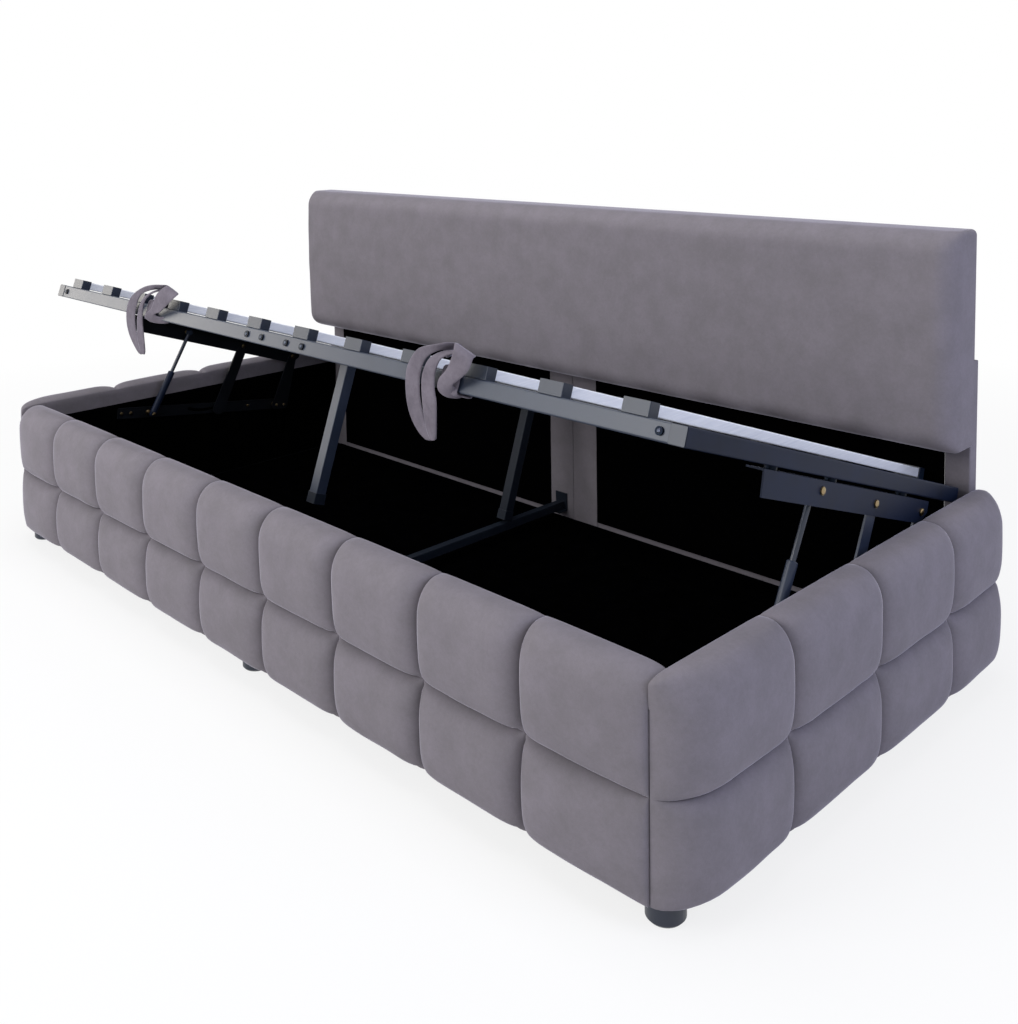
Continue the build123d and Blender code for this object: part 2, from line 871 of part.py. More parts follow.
with BuildPart() as lower_bracket:
    with BuildSketch(Plane(origin=lower_bar.origin + Vector(bar_x, 0, 0), x_dir=lower_bar.x_dir, z_dir=(1, 0, 0))):
        with Locations((lower_bar_length / 2, 0)):
            RectangleRounded(lower_bar_length, lower_bar_width, lower_bar_wall)
    extrude(amount=lower_bar_wall)
    with BuildSketch(side_plane(bar_x)):
        for index in range(slot_arcs):
            with BuildLine(mode=Mode.PRIVATE) as slot_line:
                ThreePointArc(*[foot_path((index + step / 2) / slot_arcs) for step in range(3)])
            SlotArc(slot_line.edge(), stay_pin + 2 * slot_play)
    extrude(amount=lower_bar_wall, mode=Mode.SUBTRACT)
    with BuildSketch(side_plane(bar_x)):
        with Locations([on_bar(along) for along in lower_screws]):
            Circle(rivet_diameter / 2)
        with Locations([on_bar(along) for along in upright_feet]):
            Circle(rivet_diameter / 2)
        with Locations(strut_bottom):
            Circle(stud_diameter / 2)
    extrude(amount=lower_bar_wall, mode=Mode.SUBTRACT)

with BuildPart() as hinge_upright:
    with BuildSketch(side_plane(pin_end_x)):
        with Locations((hinge_y, hinge_height), *[on_bar(along) for along in upright_feet]):
            Circle(upright_width / 2)
        make_hull()
        with Locations((hinge_y, hinge_height)):
            Circle(pin_diameter / 2, mode=Mode.SUBTRACT)
        with Locations([on_bar(along) for along in upright_feet]):
            Circle(rivet_diameter / 2, mode=Mode.SUBTRACT)
    extrude(amount=upright_wall)

with BuildPart() as hinge_pin:
    with BuildSketch(side_plane(pin_end_x - pin_head_height)):
        with Locations((hinge_y, hinge_height)):
            Circle(pin_head / 2)
    extrude(amount=pin_head_height)
    with BuildSketch(side_plane(pin_end_x)):
        with Locations((hinge_y, hinge_height)):
            Circle(pin_diameter / 2)
    extrude(amount=half_frame - pin_end_x + running_clearance)
    with BuildSketch(side_plane(half_frame + running_clearance)):
        with Locations((hinge_y, hinge_height)):
            Circle(pin_head / 2)
    extrude(amount=pin_head_height)

with BuildPart() as stay:
    with BuildSketch(side_plane(pin_end_x)):
        with Locations(stay_top):
            Circle(stay_top_radius)
        with Locations(stay_foot):
            Circle(stay_foot_radius)
        make_hull()
        with Locations(stay_top):
            Circle(pin_diameter / 2 + running_clearance, mode=Mode.SUBTRACT)
    extrude(amount=upright_wall)
    with BuildSketch(side_plane(link_x)):
        with Locations(stay_foot):
            Circle(stay_pin / 2)
    extrude(amount=inner_x - link_x - link_gap)

with BuildPart() as upper_bracket:
    with BuildSketch(lift_side.offset(strap_x)):
        with BuildLine():
            Polyline(
                (-bracket_start, bracket_top),
                (bracket_end, bracket_top),
                (bracket_end, bracket_top - bracket_reach + bracket_tail),
                (bracket_end - bracket_tail, bracket_top - bracket_reach),
                (-bracket_start + bracket_nose, bracket_top - bracket_reach),
                close=True,
            )
        make_face()
        Circle(pin_diameter / 2 + running_clearance, mode=Mode.SUBTRACT)
        with Locations((stay_back - hinge_back, 0)):
            Circle(pin_diameter / 2, mode=Mode.SUBTRACT)
        with Locations((strut_back - hinge_back, hinge_drop - strut_drop)):
            Circle(stud_diameter / 2, mode=Mode.SUBTRACT)
    extrude(amount=strap_wall)
    with BuildSketch(lift.offset(bracket_top - strap_wall)):
        with Locations((half_frame - bracket_flange / 2, (bracket_end - bracket_start) / 2)):
            Rectangle(bracket_flange, bracket_start + bracket_end)
        with Locations([(half_frame - tube_side / 2, y) for y in flange_bolts]):
            Circle(bolt_hole / 2, mode=Mode.SUBTRACT)
    extrude(amount=strap_wall)

strut_base = Plane(origin=(strut_x, *strut_bottom), x_dir=(1, 0, 0), z_dir=strut_axis)
with BuildPart() as strut_cylinder:
    with BuildSketch(side_plane(strut_x - strut_eye_width / 2)):
        with Locations(strut_bottom):
            Circle(strut_eye_diameter / 2)
    extrude(amount=strut_eye_width)
    with BuildSketch(strut_base.offset(cylinder_foot)):
        Circle(cylinder_diameter / 2)
    extrude(amount=cylinder_length - cylinder_foot)
    cylinder_end = strut_cylinder.faces().sort_by(Axis(strut_base.origin, strut_base.z_dir))[-1]
    fillet(cylinder_end.edges(), foot_round / 2)
    with BuildSketch(strut_base.offset(cylinder_foot + bore_floor)):
        Circle(rod_diameter / 2 + running_clearance)
    extrude(amount=cylinder_length, mode=Mode.SUBTRACT)
    with BuildSketch(side_plane(strut_x - strut_eye_width)):
        with Locations(strut_bottom):
            Circle(stud_diameter / 2 + running_clearance)
    extrude(amount=2 * strut_eye_width, mode=Mode.SUBTRACT)

with BuildPart() as strut_rod:
    with BuildSketch(strut_base.offset(strut_length - rod_length)):
        Circle(rod_diameter / 2)
    extrude(amount=rod_length)
    with BuildSketch(side_plane(strut_x - strut_eye_width / 2)):
        with Locations(strut_top):
            Circle(strut_eye_diameter / 2)
    extrude(amount=strut_eye_width)

for side, turn in (("right", False), ("left", True)):
    for piece, name in (
        (lower_bracket.part, "lower_bracket"),
        (hinge_upright.part, "hinge_upright"),
        (stay.part, "stay"),
        (upper_bracket.part, "upper_bracket"),
        (strut_cylinder.part, "strut_cylinder"),
        (strut_rod.part, "strut_rod"),
    ):
        write(mirror(piece, about=Plane.YZ, mode=Mode.PRIVATE) if turn else piece, f"{name}_{side}")

with BuildPart() as hinge_pins:
    add(hinge_pin.part)
    mirror(about=Plane.YZ)
write(hinge_pins.part, "hinge_pins")

with BuildPart() as stay_pins:
    with BuildSketch(lift_side.offset(pin_end_x - pin_head_height - running_clearance)):
        with Locations((stay_back - hinge_back, 0)):
            Circle(pin_head / 2)
    extrude(amount=pin_head_height)
    with BuildSketch(lift_side.offset(pin_end_x - running_clearance)):
        with Locations((stay_back - hinge_back, 0)):
            Circle(pin_diameter / 2)
    extrude(amount=half_frame - pin_end_x + running_clearance)
    with BuildSketch(lift_side.offset(half_frame)):
        with Locations((stay_back - hinge_back, 0)):
            Circle(pin_head / 2)
    extrude(amount=pin_head_height)
    mirror(about=Plane.YZ)
write(stay_pins.part, "stay_pins")

with BuildPart() as lower_studs:
    with BuildSketch(side_plane(strut_x - strut_eye_width / 2 - stud_clip)):
        with Locations(strut_bottom):
            Circle(stud_diameter / 2)
    extrude(amount=inner_x - strut_x + strut_eye_width / 2 + stud_clip)
    with BuildSketch(side_plane(bar_x - stud_base_height)):
        with Locations(strut_bottom):
            Circle(stud_base / 2)
    extrude(amount=stud_base_height)
    with BuildSketch(side_plane(strut_x - strut_eye_width / 2 - 2 * stud_clip)):
        with Locations(strut_bottom):
            Circle(stud_diameter / 2 + stud_clip / 2)
    extrude(amount=2 * stud_clip - running_clearance)
    mirror(about=Plane.YZ)
write(lower_studs.part, "strut_studs_lower")

with BuildPart() as upper_studs:
    stud_place = (strut_back - hinge_back, hinge_drop - strut_drop)
    with BuildSketch(lift_side.offset(eye_near + seat)):
        with Locations(stud_place):
            Circle(stud_diameter / 2)
    extrude(amount=half_frame - eye_near - seat)
    with BuildSketch(lift_side.offset(strap_x - stud_base_height)):
        with Locations(stud_place):
            Circle(stud_base / 2)
    extrude(amount=stud_base_height)
    with BuildSketch(lift_side.offset(half_frame)):
        with Locations(stud_place):
            Circle(pin_head / 2)
    extrude(amount=pin_head_height)
    mirror(about=Plane.YZ)
write(upper_studs.part, "strut_studs_upper")

# Fasteners of the lower brackets: rivets through spacer bushes, and wood screws into the panels
with BuildPart() as bracket_fasteners:
    for along in lower_screws:
        with BuildSketch(side_plane(bar_x - rivet_head_height)):
            with Locations(on_bar(along)):
                Circle(rivet_head / 2)
        extrude(amount=rivet_head_height)
        with BuildSketch(side_plane(bar_x)):
            with Locations(on_bar(along)):
                Circle(rivet_diameter / 2)
        extrude(amount=lower_bar_wall)
    for along in upright_feet:
        with BuildSketch(side_plane(pin_end_x - rivet_head_height)):
            with Locations(on_bar(along)):
                Circle(rivet_head / 2)
        extrude(amount=rivet_head_height)
        with BuildSketch(side_plane(pin_end_x)):
            with Locations(on_bar(along)):
                Circle(rivet_diameter / 2)
        extrude(amount=inner_x - pin_end_x)
        with BuildSketch(side_plane(link_x)):
            with Locations(on_bar(along)):
                Circle(stud_base / 2)
        extrude(amount=bar_x - link_x)
    mirror(about=Plane.YZ)
write(bracket_fasteners.part, "bracket_fasteners")

# Bolts of the lift frame: rail joints, and the upper brackets with their packing rings
with BuildPart() as frame_bolts:
    for row, row_y in rows.items():
        face = frame_front if row == "front" else frame_rear
        outward = 1 if row == "front" else -1
        with BuildSketch(lift_front.offset(-face)):
            with Locations([(x, rail_centre) for x in rail_bolt_x]):
                Circle(bolt_head / 2)
        extrude(amount=outward * bolt_head_height)
        with BuildSketch(lift_front.offset(-face)):
            with Locations([(x, rail_centre) for x in rail_bolt_x]):
                Circle(bolt_diameter / 2)
        extrude(amount=-outward * bolt_length)
    flange_points = [(sign * (half_frame - tube_side / 2), y) for sign in (-1, 1) for y in flange_bolts]
    with BuildSketch(lift.offset(bracket_top)):
        with Locations(flange_points):
            Circle(packing_diameter / 2)
    extrude(amount=packing)
    with BuildSketch(lift.offset(bracket_top - strap_wall)):
        with Locations(flange_points):
            Circle(bolt_diameter / 2)
    extrude(amount=strap_wall)
    with BuildSketch(lift.offset(bracket_top - strap_wall - bolt_head_height)):
        with Locations(flange_points):
            Circle(bolt_head / 2)
    extrude(amount=bolt_head_height)
write(frame_bolts.part, "frame_bolts")

# Pull straps: a band of cover fabric hitched round the front rail. Both strands come over
# the rail, turn down in front of it and meet at a rounded tip.
rail_front_low = lift.from_local_coords((0, frame_front, hinge_drop - tube_side))
sheet_front = rail_front_low.Y - strap_stand_off
sheet_back = sheet_front + strap_thickness


def strap_point(middle, place):
    """A point of the strap's outline, from its shares of the loop's width and height."""
    return (middle + place[0] * strap_loop_width, rail_front_low.Z + place[1] * strap_loop_height)


def strap_fold(back, up):
    """A point of the strap's side profile, over the rail."""
    return (sheet_front + back * strap_fold_depth, rail_front_low.Z + up * strap_loop_height)


for side, middle in (("left", strap_left_x), ("right", strap_right_x)):
    wrap_in = tube_side + 2 * strap_clearance
    wrap_out = wrap_in + 2 * strap_thickness
    outline = [strap_point(middle, place) for place in strap_outline_shares]
    slit = [strap_point(middle, place) for place in strap_slit_shares]
    outer = [strap_fold(*place) for place in strap_outer_fold_shares]
    inner = [strap_fold(*place) for place in strap_inner_fold_shares]
    with BuildPart() as pull_strap:
        with BuildSketch(side_plane(middle - 2 * strap_loop_width)):
            with BuildLine():
                Line((sheet_front, rail_front_low.Z - 2 * strap_loop_height), outer[0])
                ThreePointArc(*outer)
                Line(outer[2], inner[2])
                ThreePointArc(inner[2], inner[1], inner[0])
                Line(inner[0], (sheet_back, rail_front_low.Z - 2 * strap_loop_height))
                Line(
                    (sheet_back, rail_front_low.Z - 2 * strap_loop_height),
                    (sheet_front, rail_front_low.Z - 2 * strap_loop_height),
                )
            make_face()
        extrude(amount=4 * strap_loop_width)
        with BuildSketch(Plane.XZ.offset(-sheet_front - 2 * strap_fold_depth)):
            with BuildLine():
                ThreePointArc(outline[0], outline[1], outline[2])
                ThreePointArc(outline[2], outline[3], outline[4])
                ThreePointArc(outline[4], outline[5], outline[6])
                Line(outline[6], outline[7])
                ThreePointArc(outline[7], outline[8], outline[9])
                Line(outline[9], outline[0])
            make_face()
        extrude(amount=4 * strap_fold_depth, mode=Mode.INTERSECT)
        with BuildSketch(Plane.XZ.offset(-sheet_front - 2 * strap_fold_depth)):
            with BuildLine():
                ThreePointArc(slit[0], slit[1], slit[2])
                ThreePointArc(slit[2], slit[3], slit[0])
            make_face()
        extrude(amount=4 * strap_fold_depth, mode=Mode.SUBTRACT)
        with BuildSketch(lift_side.offset(middle - strap_hitch_start)):
            with Locations((rows["front"], rail_centre)):
                RectangleRounded(wrap_out, wrap_out, strap_thickness)
            hitch_centre = rail_centre + wrap_out / 2 + strap_hitch_height / 2 - strap_thickness
            with Locations((rows["front"], hitch_centre)):
                RectangleRounded(wrap_in, strap_hitch_height, strap_thickness)
            with Locations((rows["front"], rail_centre)):
                Rectangle(wrap_in, wrap_in, mode=Mode.SUBTRACT)
        extrude(amount=strap_hitch_width)
    write(pull_strap.part, f"pull_strap_{side}")
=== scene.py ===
"""An ottoman storage bed: a tufted velvet box, a padded back and a slatted frame raised on gas struts."""

import json
from math import cos, pi, radians, sin, sqrt

import bmesh
import bpy
from mathutils import Matrix, Vector, noise

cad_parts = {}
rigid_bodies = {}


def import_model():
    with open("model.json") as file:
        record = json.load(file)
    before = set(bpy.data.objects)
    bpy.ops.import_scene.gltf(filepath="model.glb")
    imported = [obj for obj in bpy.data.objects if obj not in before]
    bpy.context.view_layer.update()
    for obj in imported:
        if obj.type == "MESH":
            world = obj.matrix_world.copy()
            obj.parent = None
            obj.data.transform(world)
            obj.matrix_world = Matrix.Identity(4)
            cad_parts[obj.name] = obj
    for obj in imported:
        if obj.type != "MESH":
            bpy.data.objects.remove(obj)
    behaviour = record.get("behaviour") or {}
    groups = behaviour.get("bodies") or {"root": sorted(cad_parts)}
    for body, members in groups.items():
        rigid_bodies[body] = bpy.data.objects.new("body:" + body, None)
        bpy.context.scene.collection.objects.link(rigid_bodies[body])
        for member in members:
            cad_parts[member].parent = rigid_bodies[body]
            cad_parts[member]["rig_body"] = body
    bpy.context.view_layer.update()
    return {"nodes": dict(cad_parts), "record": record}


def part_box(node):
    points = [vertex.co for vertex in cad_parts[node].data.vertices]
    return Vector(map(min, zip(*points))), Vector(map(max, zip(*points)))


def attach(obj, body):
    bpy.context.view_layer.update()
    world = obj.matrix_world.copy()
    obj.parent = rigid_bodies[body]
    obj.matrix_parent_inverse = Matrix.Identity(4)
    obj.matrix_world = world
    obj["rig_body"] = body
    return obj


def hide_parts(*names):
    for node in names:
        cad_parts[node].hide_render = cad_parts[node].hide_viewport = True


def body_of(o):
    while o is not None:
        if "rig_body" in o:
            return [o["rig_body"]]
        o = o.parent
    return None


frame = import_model()

# The padding's unevenness is the same on every run
noise_seed = 11
noise.seed_set(noise_seed)

# All sizes are in metres, apart from the points of the straps
MM = 0.001

# Rows and columns of the tufted panels
foot_height = 39 * MM
lower_row = 150 * MM
upper_row = 161 * MM
mid_seam = foot_height + lower_row
top_seam = mid_seam + upper_row
front_columns = 9
end_columns = 4
tail_trim = 16 * MM

# How far the puffs stand out, and how far from a seam or an end they take to rise
front_bulge = 30 * MM
end_bulge = 25 * MM
end_thickness = 50 * MM
seam_share = 0.04
crown_share = 0.88
corner_share = 0.92
tuft_reach = 50 * MM
front_end_reach = 170 * MM
front_corner_reach = 95 * MM
tail_reach = 190 * MM
tail_corner_reach = 60 * MM
pucker_depth = 1.2 * MM
puckers_per_metre = 14
front_pucker_seed = 1.0
end_pucker_seed = 5.0

# The sewn lines, the rounded top and the edge that wraps over it
groove_depth = 5 * MM
groove_reach = 13 * MM
crest_groove_share = 0.6
crest_rise = 9 * MM
crest_inset = 12 * MM
crest_closing_share = 0.9
end_drop = 8 * MM
end_drop_reach = 34 * MM
lip_height = 40 * MM
lining = 2 * MM

# How far the chipboard inside a panel stays back from its cover
board_top_back = 24 * MM
board_end_back = 30 * MM
board_side_back = 7 * MM
board_round = 1.5 * MM

# Headboard
headboard_side = 51 * MM
headboard_crown = 54 * MM
headboard_edge = 40 * MM
headboard_corner = 11 * MM
headboard_pucker_depth = 1.5 * MM
headboard_pucker_seed = 9.0
cover_thickness = 4 * MM
board_depth = 20 * MM

# The raised frame and its front rail
lift_angle = radians(19.2)
hinge_y = 313.5 * MM
hinge_height = 355 * MM
rail_back = -745 * MM
rail_centre = 42 * MM
tube_side = 30 * MM

# Pull straps
strap_wall = 4.5 * MM
hitch_clearance = 0.3 * MM
strap_side_power = 0.75
strap_face_power = 0.6

# Heads of rivets and bolts
rivet_head_share = 0.94
rivet_rise = 0.34
dimple_share = 0.35
dimple_depth_share = 0.8
bolt_head_radius = 6.5 * MM
bolt_head_height = 3 * MM
bolt_dome_share = 0.6
bolt_dome_rise = 0.4

# Distances under which points are joined and faces dropped
merge_distance = 0.02 * MM
sliver_distance = 0.01 * MM

# Angles from which an edge is shaded as a crease
crease_angle = radians(50)
strap_crease_angle = radians(70)


# Materials
def colour(hex_value):
    """A colour written as sRGB hex, turned to the linear values that shaders take."""
    parts = [int(hex_value[i:i + 2], 16) / 255 for i in (1, 3, 5)]
    return [c / 12.92 if c <= 0.04045 else ((c + 0.055) / 1.055) ** 2.4 for c in parts] + [1.0]


def add(tree, kind, settings=None, links=None):
    """Adds one node: settings are its properties, its sockets' values or the places and colours of its ramp,
    and links are its incoming wires."""
    made = tree.nodes.new(kind)
    for name, value in (settings or {}).items():
        if name == "color_ramp":
            for element, (position, hex_value) in zip(made.color_ramp.elements, value):
                element.position = position
                element.color = colour(hex_value)
        elif isinstance(name, str) and hasattr(made, name):
            setattr(made, name, value)
        else:
            made.inputs[name].default_value = value
    for socket, source in (links or {}).items():
        tree.links.new(source, made.inputs[socket])
    return made


def new_material(name):
    """An empty node material and the position on the object that its patterns follow."""
    material = bpy.data.materials.new(name)
    material.use_nodes = True
    tree = material.node_tree
    tree.nodes.clear()
    place = add(tree, "ShaderNodeTexCoord")
    return material, tree, place.outputs["Object"]


def velvet_material(name, velvet_deep, velvet_pale):
    """Short-pile polyester velvet: matt, a pale bloom at grazing angles, pile brushed into soft patches."""
    # pile brushed one way and the other in patches of a few centimetres, and finer flecks inside them
    brushed_patch = 50 * MM
    fleck_width = 6.667 * MM
    # pile tips about 0.6 mm apart, drawn a little coarser so that they show
    tip_spacing = 1.111 * MM
    material, tree, place = new_material(name)
    patches = add(tree, "ShaderNodeTexNoise", {"Scale": 1 / brushed_patch, "Detail": 5.0, "Roughness": 0.62},
                  {"Vector": place})
    flecks = add(tree, "ShaderNodeTexNoise", {"Scale": 1 / fleck_width, "Detail": 5.0, "Roughness": 0.7},
                 {"Vector": place})
    tips = add(tree, "ShaderNodeTexNoise", {"Scale": 1 / tip_spacing}, {"Vector": place})
    tone = add(tree, "ShaderNodeMath", {"operation": "MULTIPLY_ADD", 1: 0.6},
               {0: flecks.outputs["Fac"], 2: patches.outputs["Fac"]})
    shade = add(tree, "ShaderNodeValToRGB", {"color_ramp": ((0.6, velvet_deep), (1.0, velvet_pale))},
                {"Fac": tone.outputs[0]})
    grain = add(tree, "ShaderNodeMix", {"data_type": "RGBA", "blend_type": "MULTIPLY", 0: 0.2},
                {6: shade.outputs["Color"], 7: tips.outputs["Fac"]})
    relief = add(tree, "ShaderNodeBump", {"Strength": 0.3, "Distance": 0.7 * MM},
                 {"Height": flecks.outputs["Fac"]})
    shader = add(tree, "ShaderNodeBsdfPrincipled",
                 {"Roughness": 0.95, "Specular IOR Level": 0.1, "Sheen Weight": 0.8, "Sheen Roughness": 0.22,
                  "Sheen Tint": colour("#dedaea")},
                 {"Base Color": grain.outputs[2], "Normal": relief.outputs[0]})
    add(tree, "ShaderNodeOutputMaterial", links={"Surface": shader.outputs[0]})
    return material


def nonwoven_material():
    """Black spun-bonded backing cloth: dead matt, a faint web of pressed dots."""
    dot_spacing = 2.381 * MM
    web_width = 6.25 * MM
    material, tree, place = new_material("black spun-bonded cloth")
    dots = add(tree, "ShaderNodeTexVoronoi", {"Scale": 1 / dot_spacing}, {"Vector": place})
    web = add(tree, "ShaderNodeTexNoise", {"Scale": 1 / web_width, "Detail": 4.0}, {"Vector": place})
    shade = add(tree, "ShaderNodeValToRGB", {"color_ramp": ((0.0, "#000000"), (1.0, "#060607"))},
                {"Fac": web.outputs["Fac"]})
    relief = add(tree, "ShaderNodeBump", {"Strength": 0.3, "Distance": 0.4 * MM},
                 {"Height": dots.outputs["Distance"]})
    shader = add(tree, "ShaderNodeBsdfPrincipled", {"Roughness": 0.95, "Specular IOR Level": 0.0},
                 {"Base Color": shade.outputs["Color"], "Normal": relief.outputs[0]})
    add(tree, "ShaderNodeOutputMaterial", links={"Surface": shader.outputs[0]})
    return material


def hardboard_material():
    """Black-faced hardboard: smooth, a little dust in its tone."""
    dust_patch = 28.57 * MM
    material, tree, place = new_material("black faced hardboard")
    dust = add(tree, "ShaderNodeTexNoise", {"Scale": 1 / dust_patch, "Detail": 5.0}, {"Vector": place})
    shade = add(tree, "ShaderNodeValToRGB", {"color_ramp": ((0.0, "#000000"), (1.0, "#040405"))},
                {"Fac": dust.outputs["Fac"]})
    shader = add(tree, "ShaderNodeBsdfPrincipled", {"Roughness": 0.9, "Specular IOR Level": 0.0},
                 {"Base Color": shade.outputs["Color"]})
    add(tree, "ShaderNodeOutputMaterial", links={"Surface": shader.outputs[0]})
    return material


def board_material():
    """Raw chipboard: pressed wood flakes of mixed tan."""
    flake_width = 5.556 * MM
    material, tree, place = new_material("raw chipboard")
    flakes = add(tree, "ShaderNodeTexVoronoi", {"Scale": 1 / flake_width}, {"Vector": place})
    shade = add(tree, "ShaderNodeValToRGB", {"color_ramp": ((0.0, "#8a6f4d"), (1.0, "#c2a77c"))},
                {"Fac": flakes.outputs["Color"]})
    shader = add(tree, "ShaderNodeBsdfPrincipled", {"Roughness": 0.8},
                 {"Base Color": shade.outputs["Color"]})
    add(tree, "ShaderNodeOutputMaterial", links={"Surface": shader.outputs[0]})
    return material


def coated_steel_material(name, deep, pale, roughness, gloss):
    """Powder-coated tube and strip, and nitrided rod: a dark skin with satin gloss, a fine orange peel and
    rubbed spots."""
    peel_width = 1.538 * MM
    rubbed_patch = 111.1 * MM
    material, tree, place = new_material(name)
    peel = add(tree, "ShaderNodeTexNoise", {"Scale": 1 / peel_width}, {"Vector": place})
    rubbed = add(tree, "ShaderNodeTexNoise", {"Scale": 1 / rubbed_patch, "Detail": 6.0, "Roughness": 0.65},
                 {"Vector": place})
    shade = add(tree, "ShaderNodeValToRGB", {"color_ramp": ((0.3, deep), (0.75, pale))},
                {"Fac": rubbed.outputs["Fac"]})
    worn = add(tree, "ShaderNodeMapRange", {"To Min": roughness - 0.05, "To Max": roughness + 0.08},
               {"Value": rubbed.outputs["Fac"]})
    relief = add(tree, "ShaderNodeBump", {"Strength": 0.12, "Distance": 0.2 * MM},
                 {"Height": peel.outputs["Fac"]})
    shader = add(tree, "ShaderNodeBsdfPrincipled", {"Specular IOR Level": gloss},
                 {"Base Color": shade.outputs["Color"], "Roughness": worn.outputs[0],
                  "Normal": relief.outputs[0]})
    add(tree, "ShaderNodeOutputMaterial", links={"Surface": shader.outputs[0]})
    return material


def plated_material(name, tint, roughness):
    """Plated or ground steel: a metal with fine turning marks in its gloss."""
    # turning marks of a few tenths of a millimetre, drawn coarser so that they show on a rivet's head
    mark_spacing = 0.833 * MM
    blotch_width = 4.167 * MM
    material, tree, place = new_material(name)
    marks = add(tree, "ShaderNodeTexNoise", {"Scale": 1 / mark_spacing, "Detail": 3.0}, {"Vector": place})
    gloss = add(tree, "ShaderNodeMapRange", {"To Min": roughness - 0.06, "To Max": roughness + 0.1},
                {"Value": marks.outputs["Fac"]})
    blotch = add(tree, "ShaderNodeTexNoise", {"Scale": 1 / blotch_width}, {"Vector": place})
    shade = add(tree, "ShaderNodeMix",
                {"data_type": "RGBA", "blend_type": "MULTIPLY", 0: 0.25, 6: colour(tint)},
                {7: blotch.outputs["Color"]})
    shader = add(tree, "ShaderNodeBsdfPrincipled", {"Metallic": 1.0},
                 {"Base Color": shade.outputs[2], "Roughness": gloss.outputs[0]})
    add(tree, "ShaderNodeOutputMaterial", links={"Surface": shader.outputs[0]})
    return material


def moulded_material(name, tint, roughness):
    """Moulded polypropylene: spark-eroded satin skin with a soft highlight."""
    # the skin's grit, drawn coarser than the few tenths of a millimetre that it has, so that it shows
    grit_spacing = 1.429 * MM
    flow_width = 33.33 * MM
    material, tree, place = new_material(name)
    skin = add(tree, "ShaderNodeTexNoise", {"Scale": 1 / grit_spacing, "Detail": 3.0}, {"Vector": place})
    flow = add(tree, "ShaderNodeTexNoise", {"Scale": 1 / flow_width}, {"Vector": place})
    shade = add(tree, "ShaderNodeMix",
                {"data_type": "RGBA", "blend_type": "MULTIPLY", 0: 0.2, 6: colour(tint)},
                {7: flow.outputs["Color"]})
    relief = add(tree, "ShaderNodeBump", {"Strength": 0.15, "Distance": 0.2 * MM},
                 {"Height": skin.outputs["Fac"]})
    shader = add(tree, "ShaderNodeBsdfPrincipled", {"Roughness": roughness},
                 {"Base Color": shade.outputs[2], "Normal": relief.outputs[0]})
    add(tree, "ShaderNodeOutputMaterial", links={"Surface": shader.outputs[0]})
    return material


def slat_material():
    """Laminated slat under a pale foil: faint grain drawn out from the back to the front, satin."""
    grain_width = 4.167 * MM
    grain_length = 83.33 * MM
    material, tree, place = new_material("pale foiled slat")
    drawn_out = add(tree, "ShaderNodeMapping",
                    {"Rotation": (lift_angle, 0, 0),
                     "Scale": (1 / grain_width, 1 / grain_length, 1 / grain_width)},
                    {"Vector": place})
    grain = add(tree, "ShaderNodeTexNoise", {"Scale": 1.0, "Detail": 6.0, "Roughness": 0.6},
                {"Vector": drawn_out.outputs[0]})
    shade = add(tree, "ShaderNodeValToRGB", {"color_ramp": ((0.25, "#e2e5ec"), (0.8, "#fbfcfe"))},
                {"Fac": grain.outputs["Fac"]})
    shader = add(tree, "ShaderNodeBsdfPrincipled", {"Roughness": 0.45},
                 {"Base Color": shade.outputs["Color"]})
    add(tree, "ShaderNodeOutputMaterial", links={"Surface": shader.outputs[0]})
    return material


velvet = velvet_material("short pile velvet", "#7e797e", "#888289")
strap_velvet = velvet_material("short pile velvet of the straps", "#6c666f", "#827b85")
nonwoven = nonwoven_material()
hardboard = hardboard_material()
chipboard = board_material()
grey_coat = coated_steel_material("graphite powder coat", "#272f3f", "#323a4a", 0.32, 0.45)
# a darker copy of the graphite coat, painted shade for the parts at the back
rear_shade_coat = coated_steel_material("powder coat darkened as painted shade at the back", "#171c26", "#20262f", 0.42, 0.14)
# the brackets' dark paint, also used as painted shade on the end rails
dark_paint_and_shade_coat = coated_steel_material("dark powder coat and painted shade", "#0f1626", "#182136", 0.42, 0.12)
# a copy of the graphite coat a little darker, painted shade for the ironwork on the right
right_ironwork_shade_coat = coated_steel_material("powder coat a little darkened as painted shade on the right", "#1f2738", "#2b3548", 0.34, 0.35)
# the frame's coat darkened near black, painted shade inside the box and on the left
near_black_shade_coat = coated_steel_material("powder coat darkened near black as painted shade", "#0a0c10", "#11141a", 0.48, 0.12)
yellow_zinc = plated_material("yellow zinc plate", "#9f8c6c", 0.26)
dark_rod = coated_steel_material("black nitrided rod", "#1c2330", "#272f3e", 0.24, 0.5)
black_oxide = plated_material("black oxide steel", "#141922", 0.34)
# a paler metal for the middle of the front bolts' heads, a painted highlight
highlighted_bolt_dome = plated_material("bolt head with a painted highlight", "#5d6472", 0.3)
cap_plastic = moulded_material("moulded slat cap", "#1c2637", 0.36)
foot_plastic = moulded_material("moulded foot", "#212838", 0.4)
slat_foil = slat_material()

slot_finish = {
    "velvet": velvet,
    "black_lining": nonwoven,
    "panel_board": chipboard,
    "floor_hardboard": hardboard,
    "grey_paint": grey_coat,
    "dark_paint": dark_paint_and_shade_coat,
    "rod_steel": dark_rod,
    "rivet_metal": yellow_zinc,
    "bolt_steel": black_oxide,
    "slat_wood": slat_foil,
    "cap_plastic": cap_plastic,
    "foot_plastic": foot_plastic,
}
for part in frame["record"]["subparts"]:
    node_object = frame["nodes"][part["node"]]
    node_object.data.materials.clear()
    node_object.data.materials.append(slot_finish[part["material_slot"]])
frame["nodes"]["headboard_board"].data.materials[0] = nonwoven
# the end rails take the darker coat as painted shade, for the light that misses their outer faces
for node in ("end_rail_left", "end_rail_right"):
    frame["nodes"][node].data.materials[0] = dark_paint_and_shade_coat
